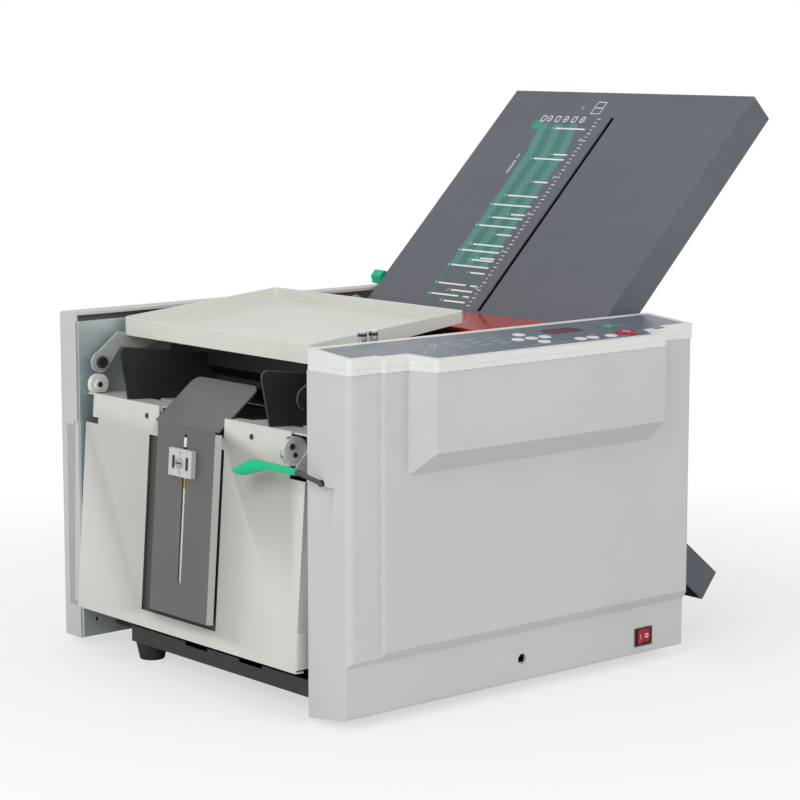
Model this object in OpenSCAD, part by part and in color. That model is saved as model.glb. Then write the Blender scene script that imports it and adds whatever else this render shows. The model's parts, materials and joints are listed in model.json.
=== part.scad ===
// Desk paper folding machine: two buckle fold plates, four fold rollers, friction feed.
// X runs from the feed end to the fold plates, Y away from the operator, Z up.

/* [Body] */
// Length of the side covers along X
cover_len = 405; // [390:1:500]
// Distance from the machine's middle to the inner face of either side cover
half_inner_w = 172.8; // [170:0.5:205]
// Thickness of the front cover up to its lower band
front_cover_t = 49.5; // [46:0.5:60]
// Thickness of the rear cover
rear_cover_t = 29.6; // [28:0.5:45]
// Height of the front cover's top above the ground
front_cover_h = 299; // [296:1:330]
// Height of the rear cover's top above the ground
rear_cover_h = 317; // [314:1:340]
// Wall of the moulded covers
cover_wall = 3; // [2.5:0.1:4]
// How far the main front face stands proud of the lower band
face_step = 8.7; // [6:0.1:12]
// Depth of the raised panel on the front cover
bulge_depth = 26; // [15:1:32]
// Thickness of a side frame plate
frame_t = 3; // [2:0.1:4]
// Gap between a side cover and the side frame next to it
cover_gap = 1.8; // [1.5:0.1:4]

/* [Control panel] */
// Forward tilt of the control panel, degrees
panel_tilt = 5; // [3:0.5:8]
// Depth of the control panel's skirt at the front corner
panel_skirt = 13.3; // [12:0.1:18]
// Thickness of the keypad film
film_t = 1; // [0.8:0.1:1.5]
// Clearance round each key
key_gap = 0.35; // [0.3:0.05:0.6]
// Travel of a key
key_travel = 1.2; // [0.6:0.1:1.5]

/* [Fold rollers] */
// Diameter of a fold roller's rubber
roller_d = 34.7; // [30:0.1:36]
// Gap at each nip
nip_gap = 0.3; // [0.2:0.05:0.5]
// Length of a fold roller's rubber
roller_len = 312; // [280:1:316]
// Diameter of a fold roller's journals
journal_d = 10; // [8:0.5:12]
// Radial clearance of a journal in its bush
journal_gap = 0.05; // [0.03:0.01:0.1]
// Teeth of a fold gear
gear_teeth = 35; // [25:2:41]

/* [Fold plates] */
// Rise of the upper fold plate, degrees
plate_1_angle = 45; // [42:1:48]
// Fall of the lower fold plate, degrees
plate_2_angle = 39; // [36:1:42]
// X of the upper plate's top edge
plate_1_x = 556; // [550:1:580]
// Z of the upper plate's top edge
plate_1_z = 514; // [506:1:540]
// X of the lower plate's outer edge
plate_2_x = 514.6; // [505:0.1:530]
// Z of the lower plate's outer edge
plate_2_z = 53.6; // [48:0.1:60]
// Depth of a fold plate's box
plate_t = 31.4; // [28:0.1:36]
// Gap between a fold plate and the side frame on each side
plate_side_gap = 2.2; // [1:0.1:4]
// Clear gap for the paper inside a fold plate
paper_gap = 6.5; // [5:0.1:8]
// Thickness of a fold plate's sheet
sheet_t = 1.5; // [1:0.1:2]

/* [Feed] */
// Half the width between the paper side guides
guide_half_w = 105; // [80:1:140]
// Height of the side guides above the feed table
guide_h = 50; // [40:1:52]
// Height of the feed table at its outer edge
table_z = 242; // [238:1:246]
// Fall of the feed table towards the rollers, degrees
table_fall = 4; // [2:0.5:5]
// Diameter of the feed roller
feed_roller_d = 30; // [26:1:32]
// X of the feed roller's axle
feed_x = 122; // [118:1:140]
// Width of the lift plate
lift_w = 118; // [90:1:124]

/* [Top tray] */
// X of the tray's feed edge
tray_x = 45; // [44:1:60]
// Length of the tray along X
tray_len = 181; // [150:1:184]
// Y of the tray's edge on the operator's side
tray_y0 = -118; // [-130:1:-100]
// Y of the tray's far edge
tray_y1 = 160; // [140:1:162]
// Height of the tray's rim at the feed edge
tray_rim = 17; // [14:0.5:20]

/* [Feed end] */
// Lean of the feed end panel, degrees
end_lean = 4.2; // [3:0.1:5]
// Width of the support tongue
tongue_w = 95; // [80:1:105]
// Length of the tongue's upright part
tongue_len = 171; // [150:1:180]
// Length of the tongue's upper leaf
leaf_len = 58; // [45:1:60]
// Angle of the leaf above the horizontal, degrees
leaf_rise = 38; // [30:1:45]
// Width of the tongue's slot
slot_w = 5; // [4.5:0.1:6]
// Length of the lever's green grip along Y
grip_len = 84; // [84:1:100]
// Diameter of the lever's rod
lever_rod_d = 4; // [3:0.5:5]

/* [Feet] */
// Height of the rubber feet
foot_h = 17; // [12:1:20]
// Upper diameter of a foot
foot_d = 30; // [22:1:32]

/* [Hidden] */
$fn = 48;

eps = 0.5;              // overshoot of a cut past the face that it opens
seat_gap = 0.3;         // gap between a moving part and what it rests on

// Planes of the body
front_in_y = -half_inner_w;
front_band_y = front_in_y - front_cover_t;
front_face_y = front_band_y - face_step;
corner_w = 34;          // width of the set-back strip at the feed end corner
corner_face_y = front_band_y - face_step / 2;
bulge_y = front_face_y - bulge_depth;
rear_out_y = half_inner_w + rear_cover_t;
frame_in_y = half_inner_w - cover_gap - frame_t;
frame_out_y = frame_in_y + frame_t;
front_floor_z = 10;     // underside of the front cover's outer edge
front_inner_z = 3.5;    // underside of its inner edge
rear_floor_z = 7;
band_top_z = 54;        // top of the lower band

// Screw bosses inside the covers
boss_places = [[24, 100], [24, 262], [384, 100], [384, 262]];
boss_d = 10;
boss_bore = 3.6;
boss_bore_l = 12;

// Scoop under the lever's shaft
scoop_r = 24;
scoop_w = 32;
scoop_depth = scoop_r - sqrt(scoop_r * scoop_r - scoop_w * scoop_w / 4);
scoop_l = 56;

// Raised panel on the front cover
bulge_x0 = 61;
bulge_x1 = 349;
bulge_side = 8;         // run of the raised panel's end slopes
bulge_z0 = 211;
bulge_z1 = 231.5;

// Frame plates
frame_x0 = 6;
frame_x1 = cover_len - 7;
frame_z0 = 9;
frame_z1 = front_cover_h + 4;

// Keypad plane: height rises away from the operator
panel_z = front_cover_h + panel_skirt;
panel_slope = tan(panel_tilt);
function panel_top(y) = panel_z + panel_slope * (y - corner_face_y);

// Fold plate geometry in the XZ plane
plate_half_w = frame_in_y - plate_side_gap;
paper_n = sheet_t + paper_gap / 2 + 0.2;    // depth of the paper's line under a plate's face
nip_r = (roller_d + nip_gap) / 2;
n1 = [-sin(plate_1_angle), cos(plate_1_angle)];
n2 = [sin(plate_2_angle), cos(plate_2_angle)];
u1 = [cos(plate_1_angle), sin(plate_1_angle)];
u2 = [cos(plate_2_angle), -sin(plate_2_angle)];
p1 = [plate_1_x, plate_1_z];
p2 = [plate_2_x, plate_2_z];
nip_2_dir = plate_1_angle - 2;
e1 = -paper_n - nip_r + n1 * p1;
e2 = -paper_n - nip_r * sin(nip_2_dir + plate_2_angle) + n2 * p2;
det = -sin(plate_1_angle + plate_2_angle);
// Fold roller 2 touches both paper lines, and the others stand round it
c2 = [(e1 * n2[1] - n1[1] * e2) / det, (n1[0] * e2 - n2[0] * e1) / det];
c1 = c2 + 2 * nip_r * n1;
c3 = c2 + 2 * nip_r * [cos(nip_2_dir), sin(nip_2_dir)];
roller_4_dir = -plate_2_angle - 3;
c4 = c2 + 2 * nip_r * [cos(roller_4_dir), sin(roller_4_dir)];
roller_centres = [c1, c2, c3, c4];
nip_1 = c2 + nip_r * n1;
nip_2 = (c2 + c3) / 2;
nip_3 = (c2 + c4) / 2;
mouth = roller_d + nip_r + 3.5;             // a plate's box starts this far past its nip
plate_1_len = (p1 - nip_1) * u1 - mouth;
plate_2_len = (p2 - nip_2) * u2 - mouth + 2;
lip_len = 28;           // top sheet that runs on towards the nip
slot_1_s0 = 34;         // upper plate's long slot, distances from its top edge
slot_1_s1 = 292;
stop_1_s = 261;         // fold stop's place at rest, from the plate's top edge
stop_2_share = 0.64;
stop_2_s = stop_2_share * (plate_2_x - frame_x1) / cos(plate_2_angle);   // on its stretch outside the frames
stop_t = 4;
stem_d = 4;
stem_slot = 5.2;
stop_n = -(sheet_t + paper_gap / 2);

// Gears: pitch diameter equals the roller spacing
gear_pitch_r = nip_r;
gear_module = 2 * gear_pitch_r / gear_teeth;
gear_y0 = frame_out_y + 6;
gear_w = 8;
pulley_y0 = gear_y0 + gear_w + 6;
pulley_w = 10;
belt_w = 8;
belt_t = 1.5;
pulley_r = 20;
motor_pulley_r = 12;
motor_c = [300, 66];
motor_r = 28;
motor_len = 92;
motor_shaft_d = 8;

// Feed end panel: face line through this point, leaning out towards the ground
end_base_z = 42;
end_base_x = -7.8;
end_top_z = 243;
end_y = half_inner_w - 8;
end_t = 1.5;
end_h = (end_top_z - end_base_z) / cos(end_lean);
recess_y = [-51, 62];    // wider beyond the tongue's far side
recess_w = recess_y[1] - recess_y[0];
recess_d = 3;
recess_s0 = 14;         // lower end of the recess above the panel's foot
recess_top = 174;
corner_l = 28;          // depth of the cut at the panel's far top corner
corner_in = 11;
near_cut = [22, 40];    // cut at its near top corner
near_cut_z = end_top_z - near_cut[1] - 2;
return_z0 = end_base_z + 1;
end_flange_x = frame_x0 + 6.5;          // flanges between the panel's gussets and the frames
end_flange_z = end_top_z - 45;
near_wall_x = 23.5;
corner_t = 1.2;
corner_h = 32;
near_wall_z = 224;
function end_line(z) = end_base_x + 0.5 + (z - end_base_z) * tan(end_lean);
notch_s = 184;          // the panel is notched above this for the tongue's fold
tongue_t = 1.5;
tongue_off = 3;         // tongue's back in front of the panel's face
tongue_side = 4.5;      // width of its folded sides
leaf_r = 9;
tongue_s0 = 18.5;       // tongue's lower edge above the panel's foot
slot_s0 = 30;           // slot ends above the tongue's lower edge
slot_s1 = 161.5;
block_s = 156.5;        // clamp block's middle above the panel's foot
block_w = 34;
block_h = 24.5;
block_t = 5;
block_slot = [12.5, 4.6];
block_slot_y = 10;
guide_rod_d = 3.4;
guide_rod_y = 3.2;      // the rod shows through the tongue's slot
guide_rod_s0 = 40;
screw_d = 4.6;

// Feed table and lift plate
table_x0 = 10;
table_x1 = 112;
table_t = 1.5;
lift_x0 = 30;
lift_x1 = 108;
lift_pin_d = 4;
lift_pin_drop = 4;
function table_top(x) = table_z - (x - table_x0) * tan(table_fall);
lift_pin = [lift_x0 + 4, table_top(lift_x0 + 4) - table_t - lift_pin_drop];
feed_gap = 27;          // feed roller's underside above the table
feed_z = table_top(feed_x) + feed_gap + feed_roller_d / 2 + 1;
feed_shaft_d = 8;
lever_y = front_in_y - 19.2;
lever_z = 206;
lever_x = -15;
cam_x = 66;
cam_len = 16;
cam_drop = 23;          // cam arm's angle below the horizontal at rest
lift_rod_d = 6;
lift_rod_x = 78;
lift_rod_y = front_in_y - 5.2;
lift_rod_z = lever_z - cam_len * sin(cam_drop) + 3 + lift_rod_d / 2 + 0.6;

// Top tray
tray_t = 1.5;
tray_z = 294;           // underside of the tray's feed edge
tray_rise = 0.125;      // its underside rises this much per length
tray_rim_end = 10.5;
function tray_under(x) = tray_z + (x - tray_x) * tray_rise;
tray_x1 = tray_x + tray_len;
arm_t = 2.5;
arm_pivot = [17, 271];
arm_pin_d = 6;
arm_far_y = tray_y1 - tray_t - arm_t;       // inner face of the far arm
arm_near_y = -frame_in_y + 16;              // outer face of the near arm
arm_drop = 14;          // depth of an arm below the tray's feed edge
function arm_under(x) = tray_under(tray_x) - arm_drop + (x - tray_x - 18) * 0.32;
rest_pin_x = 100;
rest_pin_d = 8;
rest_pin_z = arm_under(rest_pin_x) - (rest_pin_d / 2 + seat_gap) * 1.05;
guard_x0 = tray_x1 + 3;
guard_z = 307.5;        // underside at its front edge
guard_fall = 3.5;       // its back edge lies this much lower
guard_t = 3;
// where the upper fold plate's face passes the guard's level, less the hinge's room
guard_x1 = (p1[0] * u1[1] - (p1[1] - guard_z) * u1[0]) / u1[1] - 8.5;
guard_pivot = [guard_x1 - 5, 303];
guard_pin_d = 4;
function guard_under(x) = guard_z - guard_fall * (x - guard_x0) / (guard_x1 - guard_x0);

// Power switch, jack hole, feet
switch_c = [353, 26];
switch_w = 22;          // outside of the switch's rim
switch_h = 17;
switch_rim = 1.6;
rocker_w = 16.8;
rocker_h = 12.4;
rocker_rest = 6;        // tilt of the rocker at rest, degrees
rocker_pin_d = 2.4;
rocker_pin_y = front_band_y + 6;
jack_c = [200.5, 30];
jack_d = 9.5;
foot_places = [[24, 90], [46, -140], [380, 140], [380, -140]];
foot_taper = 7;         // a foot is this much narrower at the ground
foot_screw_d = 4.6;
foot_sink = 6;          // height of the screw's sunk end above the ground

// The part's origin lies under the middle of its box
plate_1_corner_x = plate_1_x + plate_t * sin(plate_1_angle);
grip_w = 14;
lever_front_x = lever_x - grip_w / 2;
shift = [
  -(lever_front_x + plate_1_corner_x) / 2,
  -(bulge_y - 1 + rear_out_y) / 2,
  0
];

// ---------- helpers ----------

// A shape that is shrunk by g to cut another runs past the open faces
function over(g) = g > 0 ? eps : 0;

module placed() {
  translate(shift) children();
}

// A profile in XZ, extruded along Y from y0 over length w
module slab_y(y0, w) {
  translate([0, y0 + w, 0]) rotate([90, 0, 0]) linear_extrude(w) children();
}

// A profile in YZ, extruded along X from x0 over length w
module slab_x(x0, w) {
  translate([x0, 0, 0]) rotate([90, 0, 90]) linear_extrude(w) children();
}

module rod_y(c, y0, y1, d) {
  translate([c[0], y1, c[1]]) rotate([90, 0, 0]) cylinder(d = d, h = y1 - y0);
}

module rod_x(x0, x1, y, z, d) {
  translate([x0, y, z]) rotate([0, 90, 0]) cylinder(d = d, h = x1 - x0);
}

module block(lo, hi) {
  translate(lo) cube(hi - lo);
}

// Corner arcs: each point is [x, y, radius]
function unit(v) = v / norm(v);
function arc_corner(a, b, c) =
  let (
    r = b[2],
    p = [b[0], b[1]],
    ua = unit([a[0], a[1]] - p),
    uc = unit([c[0], c[1]] - p),
    half = acos(ua * uc) / 2,
    mid = unit(ua + uc),
    o = p + mid * r / sin(half),
    s = p + ua * r / tan(half),
    e = p + uc * r / tan(half),
    a0 = atan2(s[1] - o[1], s[0] - o[0]),
    turn = atan2(e[1] - o[1], e[0] - o[0]) - a0,
    sweep = turn > 180 ? turn - 360 : turn < -180 ? turn + 360 : turn
  )
  r == 0 ? [p] : [for (i = [0:5]) o + r * [cos(a0 + sweep * i / 5), sin(a0 + sweep * i / 5)]];
function rounded(pts) =
  [for (i = [0:len(pts) - 1])
    each arc_corner(pts[(i + len(pts) - 1) % len(pts)], pts[i], pts[(i + 1) % len(pts)])];

module on_plate_1() {
  translate([p1[0], 0, p1[1]]) rotate([0, -plate_1_angle, 0]) children();
}

module on_plate_2() {
  translate([p2[0], 0, p2[1]]) rotate([0, plate_2_angle, 0]) children();
}

// Frame of the feed end panel: X out of its face towards the machine, Z up its face
module on_end_panel() {
  translate([end_base_x, 0, end_base_z]) rotate([0, end_lean, 0]) children();
}

module on_keypad(x, y) {
  translate([x, y, panel_top(y)]) rotate([panel_tilt, 0, 0]) children();
}

// ---------- covers ----------

function front_plan(g) = rounded([
  [g, front_in_y + over(g), 0],
  [cover_len - g, front_in_y + over(g), 0],
  [cover_len - g, front_face_y + g, 7 - g],
  [corner_w + g, front_face_y + g, 1.5],
  [corner_w + g, corner_face_y + g, 1],
  [g, corner_face_y + g, 6 - g]
]);

function front_side(g) = [
  [front_in_y + over(g), front_inner_z + g],
  [front_band_y + g + 3, front_floor_z + g - 0.4],
  [front_band_y + g + 0.8, front_floor_z + g + 0.6],
  [front_band_y + g, front_floor_z + g + 3],
  [front_band_y + g, band_top_z + g / 2],
  [front_face_y + g, band_top_z + 10 + g / 2],
  [front_face_y + g, front_cover_h + over(g)],
  [front_in_y + over(g), front_cover_h + over(g)]
];

module front_bulge(g) {
  intersection() {
    translate([0, 0, bulge_z0 - 5]) linear_extrude(front_cover_h - bulge_z0 + 5 + over(g))
      polygon([
        [bulge_x0 + g, front_face_y + cover_wall + g],
        [bulge_x0 + g, front_face_y + g],
        [bulge_x0 + bulge_side + g, bulge_y + g],
        [bulge_x1 - bulge_side - g, bulge_y + g],
        [bulge_x1 - g, front_face_y + g],
        [bulge_x1 - g, front_face_y + cover_wall + g]
      ]);
    slab_x(bulge_x0, bulge_x1 - bulge_x0) polygon([
      [front_face_y + cover_wall + g, bulge_z0 + g],
      [front_face_y + g, bulge_z0 + g],
      [bulge_y + g, bulge_z1 + g],
      [bulge_y + g, front_cover_h + over(g)],
      [front_face_y + cover_wall + g, front_cover_h + over(g)]
    ]);
  }
}

module front_shape(g) {
  intersection() {
    linear_extrude(front_cover_h + 1) polygon(front_plan(g));
    slab_x(-1, cover_len + 2) polygon(front_side(g));
  }
  front_bulge(g);
}

module front_cover() {
  color("gainsboro") placed() difference() {
    front_shape(0);
    front_shape(cover_wall);
    // hole and scoop of the lever's shaft
    rod_x(-eps, cover_wall + eps, lever_y, lever_z, lever_rod_d + 3);
    rod_y(jack_c, front_band_y - eps, front_band_y + cover_wall + eps, jack_d);
    translate([switch_c[0], front_band_y + cover_wall + eps, switch_c[1]]) rotate([90, 0, 0])
      linear_extrude(cover_wall + 2 * eps)
      square([switch_w - switch_rim + 0.4, switch_h - switch_rim + 0.4], center = true);
    lever_scoop();
  }
  // pocket behind the scoop
  color("gainsboro") placed() difference() {
    block([cover_wall - 0.1, lever_y - scoop_w / 2 - 3, lever_z - scoop_l - 4],
          [scoop_depth + 3.5, min(lever_y + scoop_w / 2 + 3, front_in_y - 1), lever_z + 6]);
    lever_scoop();
    rod_x(-eps, scoop_depth + 4, lever_y, lever_z, lever_rod_d + 3);
  }
  // screw bosses that stand on the side frame
  color("gainsboro") placed() for (b = boss_places) difference() {
    rod_y(b, (b[0] < corner_w ? corner_face_y : front_face_y) + cover_wall - 0.1, -frame_out_y, boss_d);
    rod_y(b, -frame_out_y - boss_bore_l, -frame_out_y + eps, boss_bore);
  }
}

// Round-bottomed scoop in the cover's end face, deepest under the lever's shaft
module lever_scoop() {
  translate([-scoop_r, lever_y, lever_z - scoop_l])
    rotate([0, atan(scoop_depth / scoop_l), 0])
    cylinder(r = scoop_r, h = norm([scoop_depth, scoop_l]));
}

function rear_side(g) = rounded([
  [half_inner_w - over(g), rear_floor_z + g, 0],
  [rear_out_y - g, rear_floor_z + g, 4 - g / 2],
  [rear_out_y - g, rear_cover_h - g, 9 - g],
  [half_inner_w - over(g), rear_cover_h - g, 0]
]);

module rear_cover() {
  color("gainsboro") placed() difference() {
    intersection() {
      slab_x(0, cover_len) polygon(rear_side(0));
      linear_extrude(rear_cover_h + 1) polygon(rounded([
        [0, half_inner_w - 1, 0], [cover_len, half_inner_w - 1, 0],
        [cover_len, rear_out_y, 6], [0, rear_out_y, 6]
      ]));
    }
    slab_x(cover_wall, cover_len - 2 * cover_wall) polygon(rear_side(cover_wall));
    // rebate beside the feed end panel
    translate([-eps, half_inner_w - eps, end_base_z]) rotate([end_lean / 2, 0, 0])
      cube([1.5 + eps, 12, end_top_z - 28 - end_base_z]);
  }
  color("gainsboro") placed() for (b = boss_places) difference() {
    rod_y(b, frame_out_y, rear_out_y - cover_wall + 0.1, boss_d);
    rod_y(b, frame_out_y - eps, frame_out_y + boss_bore_l, boss_bore);
  }
}

film_margin = 6;
film_gap = 0.25;
function bezel_plan(g) = rounded([
  [g, front_in_y - g, 2],
  [cover_len - g, front_in_y - g, 2],
  [cover_len - g, front_face_y - 1 + g, 6],
  [bulge_x1 - g, front_face_y - 1 + g, 2],
  [bulge_x1 - bulge_side - g, bulge_y - 1 + g, 4],
  [bulge_x0 + bulge_side + g, bulge_y - 1 + g, 4],
  [bulge_x0 + g, front_face_y - 1 + g, 2],
  [corner_w + g, front_face_y - 1 + g, 1],
  [corner_w + g, corner_face_y - 1 + g, 1],
  [g, corner_face_y - 1 + g, 5]
]);

function film_plan(g) = rounded([
  [film_margin + g, front_in_y - film_margin - g, 2],
  [cover_len - film_margin - g, front_in_y - film_margin - g, 3],
  [cover_len - film_margin - g, front_face_y - 1 + film_margin + g, 3],
  [bulge_x1 + 16 - g, front_face_y - 1 + film_margin + g, 0],
  [bulge_x1 + 16 - g, front_face_y - 7 + film_margin + g, 0],
  [bulge_x1 - 10 - g, front_face_y - 7 + film_margin + g, 0],
  [bulge_x1 - bulge_side - 12 - g, bulge_y - 1 + film_margin + g, 2],
  [bulge_x0 + bulge_side + film_margin + g, bulge_y - 1 + film_margin + g, 3],
  [bulge_x0 + film_margin / 2 + g, front_face_y - 1 + film_margin + g, 0],
  [corner_w + film_margin / 2 + g, front_face_y - 1 + film_margin + g, 0],
  [corner_w - 1 + g, corner_face_y - 1 + film_margin + g, 0],
  [film_margin + g, corner_face_y - 1 + film_margin + g, 3]
]);

// Solid between two planes parallel to the keypad, at depths d0 and d1 under it
module keypad_layer(d0, d1) {
  y0 = bulge_y - 5;
  y1 = front_in_y + 5;
  slab_x(-1, cover_len + 2) polygon([
    [y0, panel_top(y0) - d0], [y1, panel_top(y1) - d0],
    [y1, panel_top(y1) - d1], [y0, panel_top(y0) - d1]
  ]);
}

// Key places on the keypad: [x, y, length, width]
cross_c = [211, front_in_y - 47.2];
cross_pitch = 16;
key_l = 12;
key_w = 10.5;
keys = [
  [cross_c[0] - cross_pitch, cross_c[1], key_l, key_w],
  [cross_c[0], cross_c[1] + cross_pitch, key_l, key_w],
  [cross_c[0], cross_c[1], key_l, key_w],
  [cross_c[0] + cross_pitch, cross_c[1], key_l, key_w],
  [cross_c[0], cross_c[1] - cross_pitch, key_l, key_w],
  [251, front_in_y - 67.2, key_l, key_w],
  [266, front_in_y - 67.2, key_l, key_w],
  [287.5, front_in_y - 68.2, key_l, key_w]
];
start_key = [317, front_in_y - 35.7, 18.5, 16.5];
stop_key = [311.5, front_in_y - 63.7, 20, 18];
key_skirt = 1.1;        // a key's flange reaches this far under the panel
key_skirt_t = 1.2;
display_c = [261, front_in_y - 32.7];
display_w = 35;
display_h = 16;
display_gap = 0.3;
key_hole_depth = 8;
bezel_wall = 3;
bezel_floor = 2.5;      // thickness of the panel under the film
bezel_top = 40;         // more than the panel's highest rise above the cover
key_foot_z = film_t + bezel_floor + 0.25 + key_skirt_t;   // depth of a key's underside
board_drop = key_foot_z + key_travel + 0.85;   // depth of the circuit board, clear of a pressed key
board_t = 1.6;
board_c = [255, front_in_y - 47.7];
board_size = [160, 45];

// A slot with round ends
module stadium(l, w) {
  square([l - w, w], center = true);
  for (s = [-1, 1]) translate([s * (l - w) / 2, 0]) circle(d = w);
}

module key_shape(k, g) {
  stadium(k[2] + 2 * g, k[3] + 2 * g);
}

module key_cut(k, depth) {
  on_keypad(k[0], k[1]) translate([0, 0, -depth]) linear_extrude(depth + 1) key_shape(k, key_gap);
}

module key_solid(k, proud) {
  on_keypad(k[0], k[1]) {
    translate([0, 0, -key_foot_z]) linear_extrude(key_foot_z + proud) key_shape(k, 0);
    translate([0, 0, -key_foot_z]) linear_extrude(key_skirt_t) key_shape(k, key_skirt);
  }
}

module all_key_cuts(depth) {
  for (k = concat(keys, [start_key, stop_key])) key_cut(k, depth);
}

// Opening of the display window through the panel
module display_cut() {
  on_keypad(display_c[0], display_c[1]) translate([0, 0, -key_hole_depth]) linear_extrude(key_hole_depth + 1)
    square([display_w + 2 * display_gap, display_h + 2 * display_gap], center = true);
}

module control_bezel() {
  color("whitesmoke") placed() difference() {
    intersection() {
      translate([0, 0, front_cover_h]) linear_extrude(bezel_top) polygon(bezel_plan(0));
      keypad_layer(0, 60);
    }
    // hollow under the top wall
    intersection() {
      translate([0, 0, front_cover_h - eps]) linear_extrude(bezel_top) polygon(bezel_plan(bezel_wall));
      keypad_layer(film_t + bezel_floor, 60);
    }
    // seat of the film
    intersection() {
      translate([0, 0, front_cover_h]) linear_extrude(bezel_top) polygon(film_plan(0));
      keypad_layer(-1, film_t);
    }
    all_key_cuts(key_hole_depth);
    display_cut();
  }
}

module control_overlay() {
  color("slategray") placed() difference() {
    intersection() {
      translate([0, 0, front_cover_h]) linear_extrude(bezel_top) polygon(film_plan(film_gap));
      keypad_layer(0.1, film_t);
    }
    all_key_cuts(key_hole_depth);
    display_cut();
  }
}

module display_board() {
  color("firebrick") placed() {
    on_keypad(display_c[0], display_c[1]) translate([-display_w / 2, -display_h / 2, -board_drop])
      cube([display_w, display_h, board_drop - 0.2]);
    on_keypad(board_c[0], board_c[1])
      translate([-board_size[0] / 2, -board_size[1] / 2, -board_drop - board_t])
      cube([board_size[0], board_size[1], board_t]);
  }
}

module key_node(i) {
  color("white") placed() key_solid(keys[i], 0.3);
}

module start_button() {
  color("seagreen") placed() key_solid(start_key, 0.8);
}

module stop_button() {
  color("crimson") placed() key_solid(stop_key, 1.4);
}

// ---------- frame ----------

bush_od = journal_d + 6;
feed_bush_od = feed_shaft_d + 5;
feed_c = [feed_x, feed_z];
lift_window = [[70, 196], [92, 228]];
tie_d = 12;
tie_seat = tie_d / 2 + seat_gap;
// heights at which a cross tie carries the underside of either fold plate
function tie_under_1(x) = (n1 * p1 - plate_t - tie_seat + sin(plate_1_angle) * x) / cos(plate_1_angle);
function tie_under_2(x) = (n2 * p2 - plate_t - tie_seat - sin(plate_2_angle) * x) / cos(plate_2_angle);
guard_tie_x = guard_x0 + 7;
guard_tie_z = 290;
tie_screw_d = 9;
tie_screw_h = 3;
shoulder_d = 11;        // heads of the screws that the tray's arms turn on
shoulder_h = 3.5;
panel_screw_y = [-89, 67];
panel_screw_drop = 11;
tie_places = [
  [70, 40], [240, 60], [385, 60], [guard_tie_x, guard_tie_z],
  for (x = [346, 384]) [x, tie_under_1(x)],
  for (x = [345, 385]) [x, tie_under_2(x)]
];
guard_post_y = [-120, 120];

module frame_profile() {
  difference() {
    polygon(rounded([
      [frame_x0, frame_z0, 3], [frame_x1, frame_z0, 3], [frame_x1, frame_z1, 8],
      [frame_x0, frame_z1, 6]
    ]));
    for (c = roller_centres) translate(c) circle(d = bush_od + 0.04);
    translate(guard_pivot) circle(r = 7.9);
    translate(feed_c) circle(d = feed_bush_od + 0.04);
    // lightening holes
    for (c = [[70, 120], [140, 120], [140, 60]]) translate(c) circle(d = 46);
    for (c = [[16, 24], [386, 24]]) translate(c) circle(d = 4.2);
  }
  // ear for the guard's hinge pin
  difference() {
    translate([guard_pivot[0] - 8, frame_z1 - 4]) square([16, guard_pivot[1] - frame_z1 + 4]);
    translate(guard_pivot) circle(d = guard_pin_d + 0.1);
  }
  difference() {
    translate(guard_pivot) circle(r = 8);
    translate(guard_pivot) circle(d = guard_pin_d + 0.1);
  }
}

module side_frame_front() {
  color("lightsteelblue") placed() difference() {
    slab_y(-frame_out_y, frame_t) frame_profile();
    slab_y(-frame_out_y - eps, frame_t + 2 * eps) {
      translate(lift_window[0]) square(lift_window[1] - lift_window[0]);
      translate(motor_c) circle(d = 22);
    }
  }
}

module side_frame_rear() {
  color("lightsteelblue") placed() slab_y(frame_in_y, frame_t) {
    frame_profile();
    // its feed end reaches the cover's edge, and its top fills the gap under the cover's rim
    translate([far_lip_x, frame_z0]) square([frame_x0 - far_lip_x + 4, far_lip_z - frame_z0]);
    translate([far_lip_x, frame_z1 - 8]) square([far_lip_l, far_lip_z - frame_z1 + 8]);
  }
}

far_lip_x = 0.6;
far_lip_z = 309;
far_lip_l = 210;
pan_y = frame_in_y - 0.5;
pan_x0 = 8;
pan_x1 = frame_x1;
pan_h = 15;
pan_t = 1.5;
vent_y = [-98, -18];
vent_l = 33;
vent_h = 3;
pan_notch = [28, 68];   // its far corner at the feed end is cut back
pan_rear_h = 9;         // lower stretch of the rear wall, under the power inlet
inlet_y = [-140, -112];

// Plan of the pan, its wall moved in by g
function pan_plan(g) = [
  [pan_x0 + g, -pan_y + g], [pan_x1 - g, -pan_y + g], [pan_x1 - g, pan_y - g],
  [pan_x0 + pan_notch[0] + g, pan_y - g], [pan_x0 + pan_notch[0] + g, pan_y - pan_notch[1] - g],
  [pan_x0 + g, pan_y - pan_notch[1] - g]
];

module base_pan() {
  color("darkslategray") placed() difference() {
    translate([0, 0, foot_h]) linear_extrude(pan_h) polygon(pan_plan(0));
    translate([0, 0, foot_h + pan_t]) linear_extrude(pan_h) polygon(pan_plan(pan_t));
    // vent slots in the feed end wall, open at its top edge
    for (y = vent_y)
      block([pan_x0 - eps, y, foot_h + pan_h - vent_h],
            [pan_x0 + pan_t + eps, y + vent_l, foot_h + pan_h + eps]);
    // place of the power inlet
    block([pan_x1 - pan_t - 1, inlet_y[0] - seat_gap, foot_h + pan_rear_h],
          [pan_x1 + eps, inlet_y[1] + seat_gap, foot_h + pan_h + eps]);
    // foot screws
    for (f = foot_places) translate([f[0], f[1], foot_h - eps])
      cylinder(d = foot_screw_d + 0.4, h = pan_t + 2 * eps);
  }
}

module feet() {
  color("black") placed() for (f = foot_places) translate([f[0], f[1], 0]) difference() {
    cylinder(d1 = foot_d - foot_taper, d2 = foot_d, h = foot_h);
    translate([0, 0, -eps]) cylinder(d = 10, h = foot_sink);
    cylinder(d = foot_screw_d + 0.4, h = foot_h + eps);
  }
}

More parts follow.
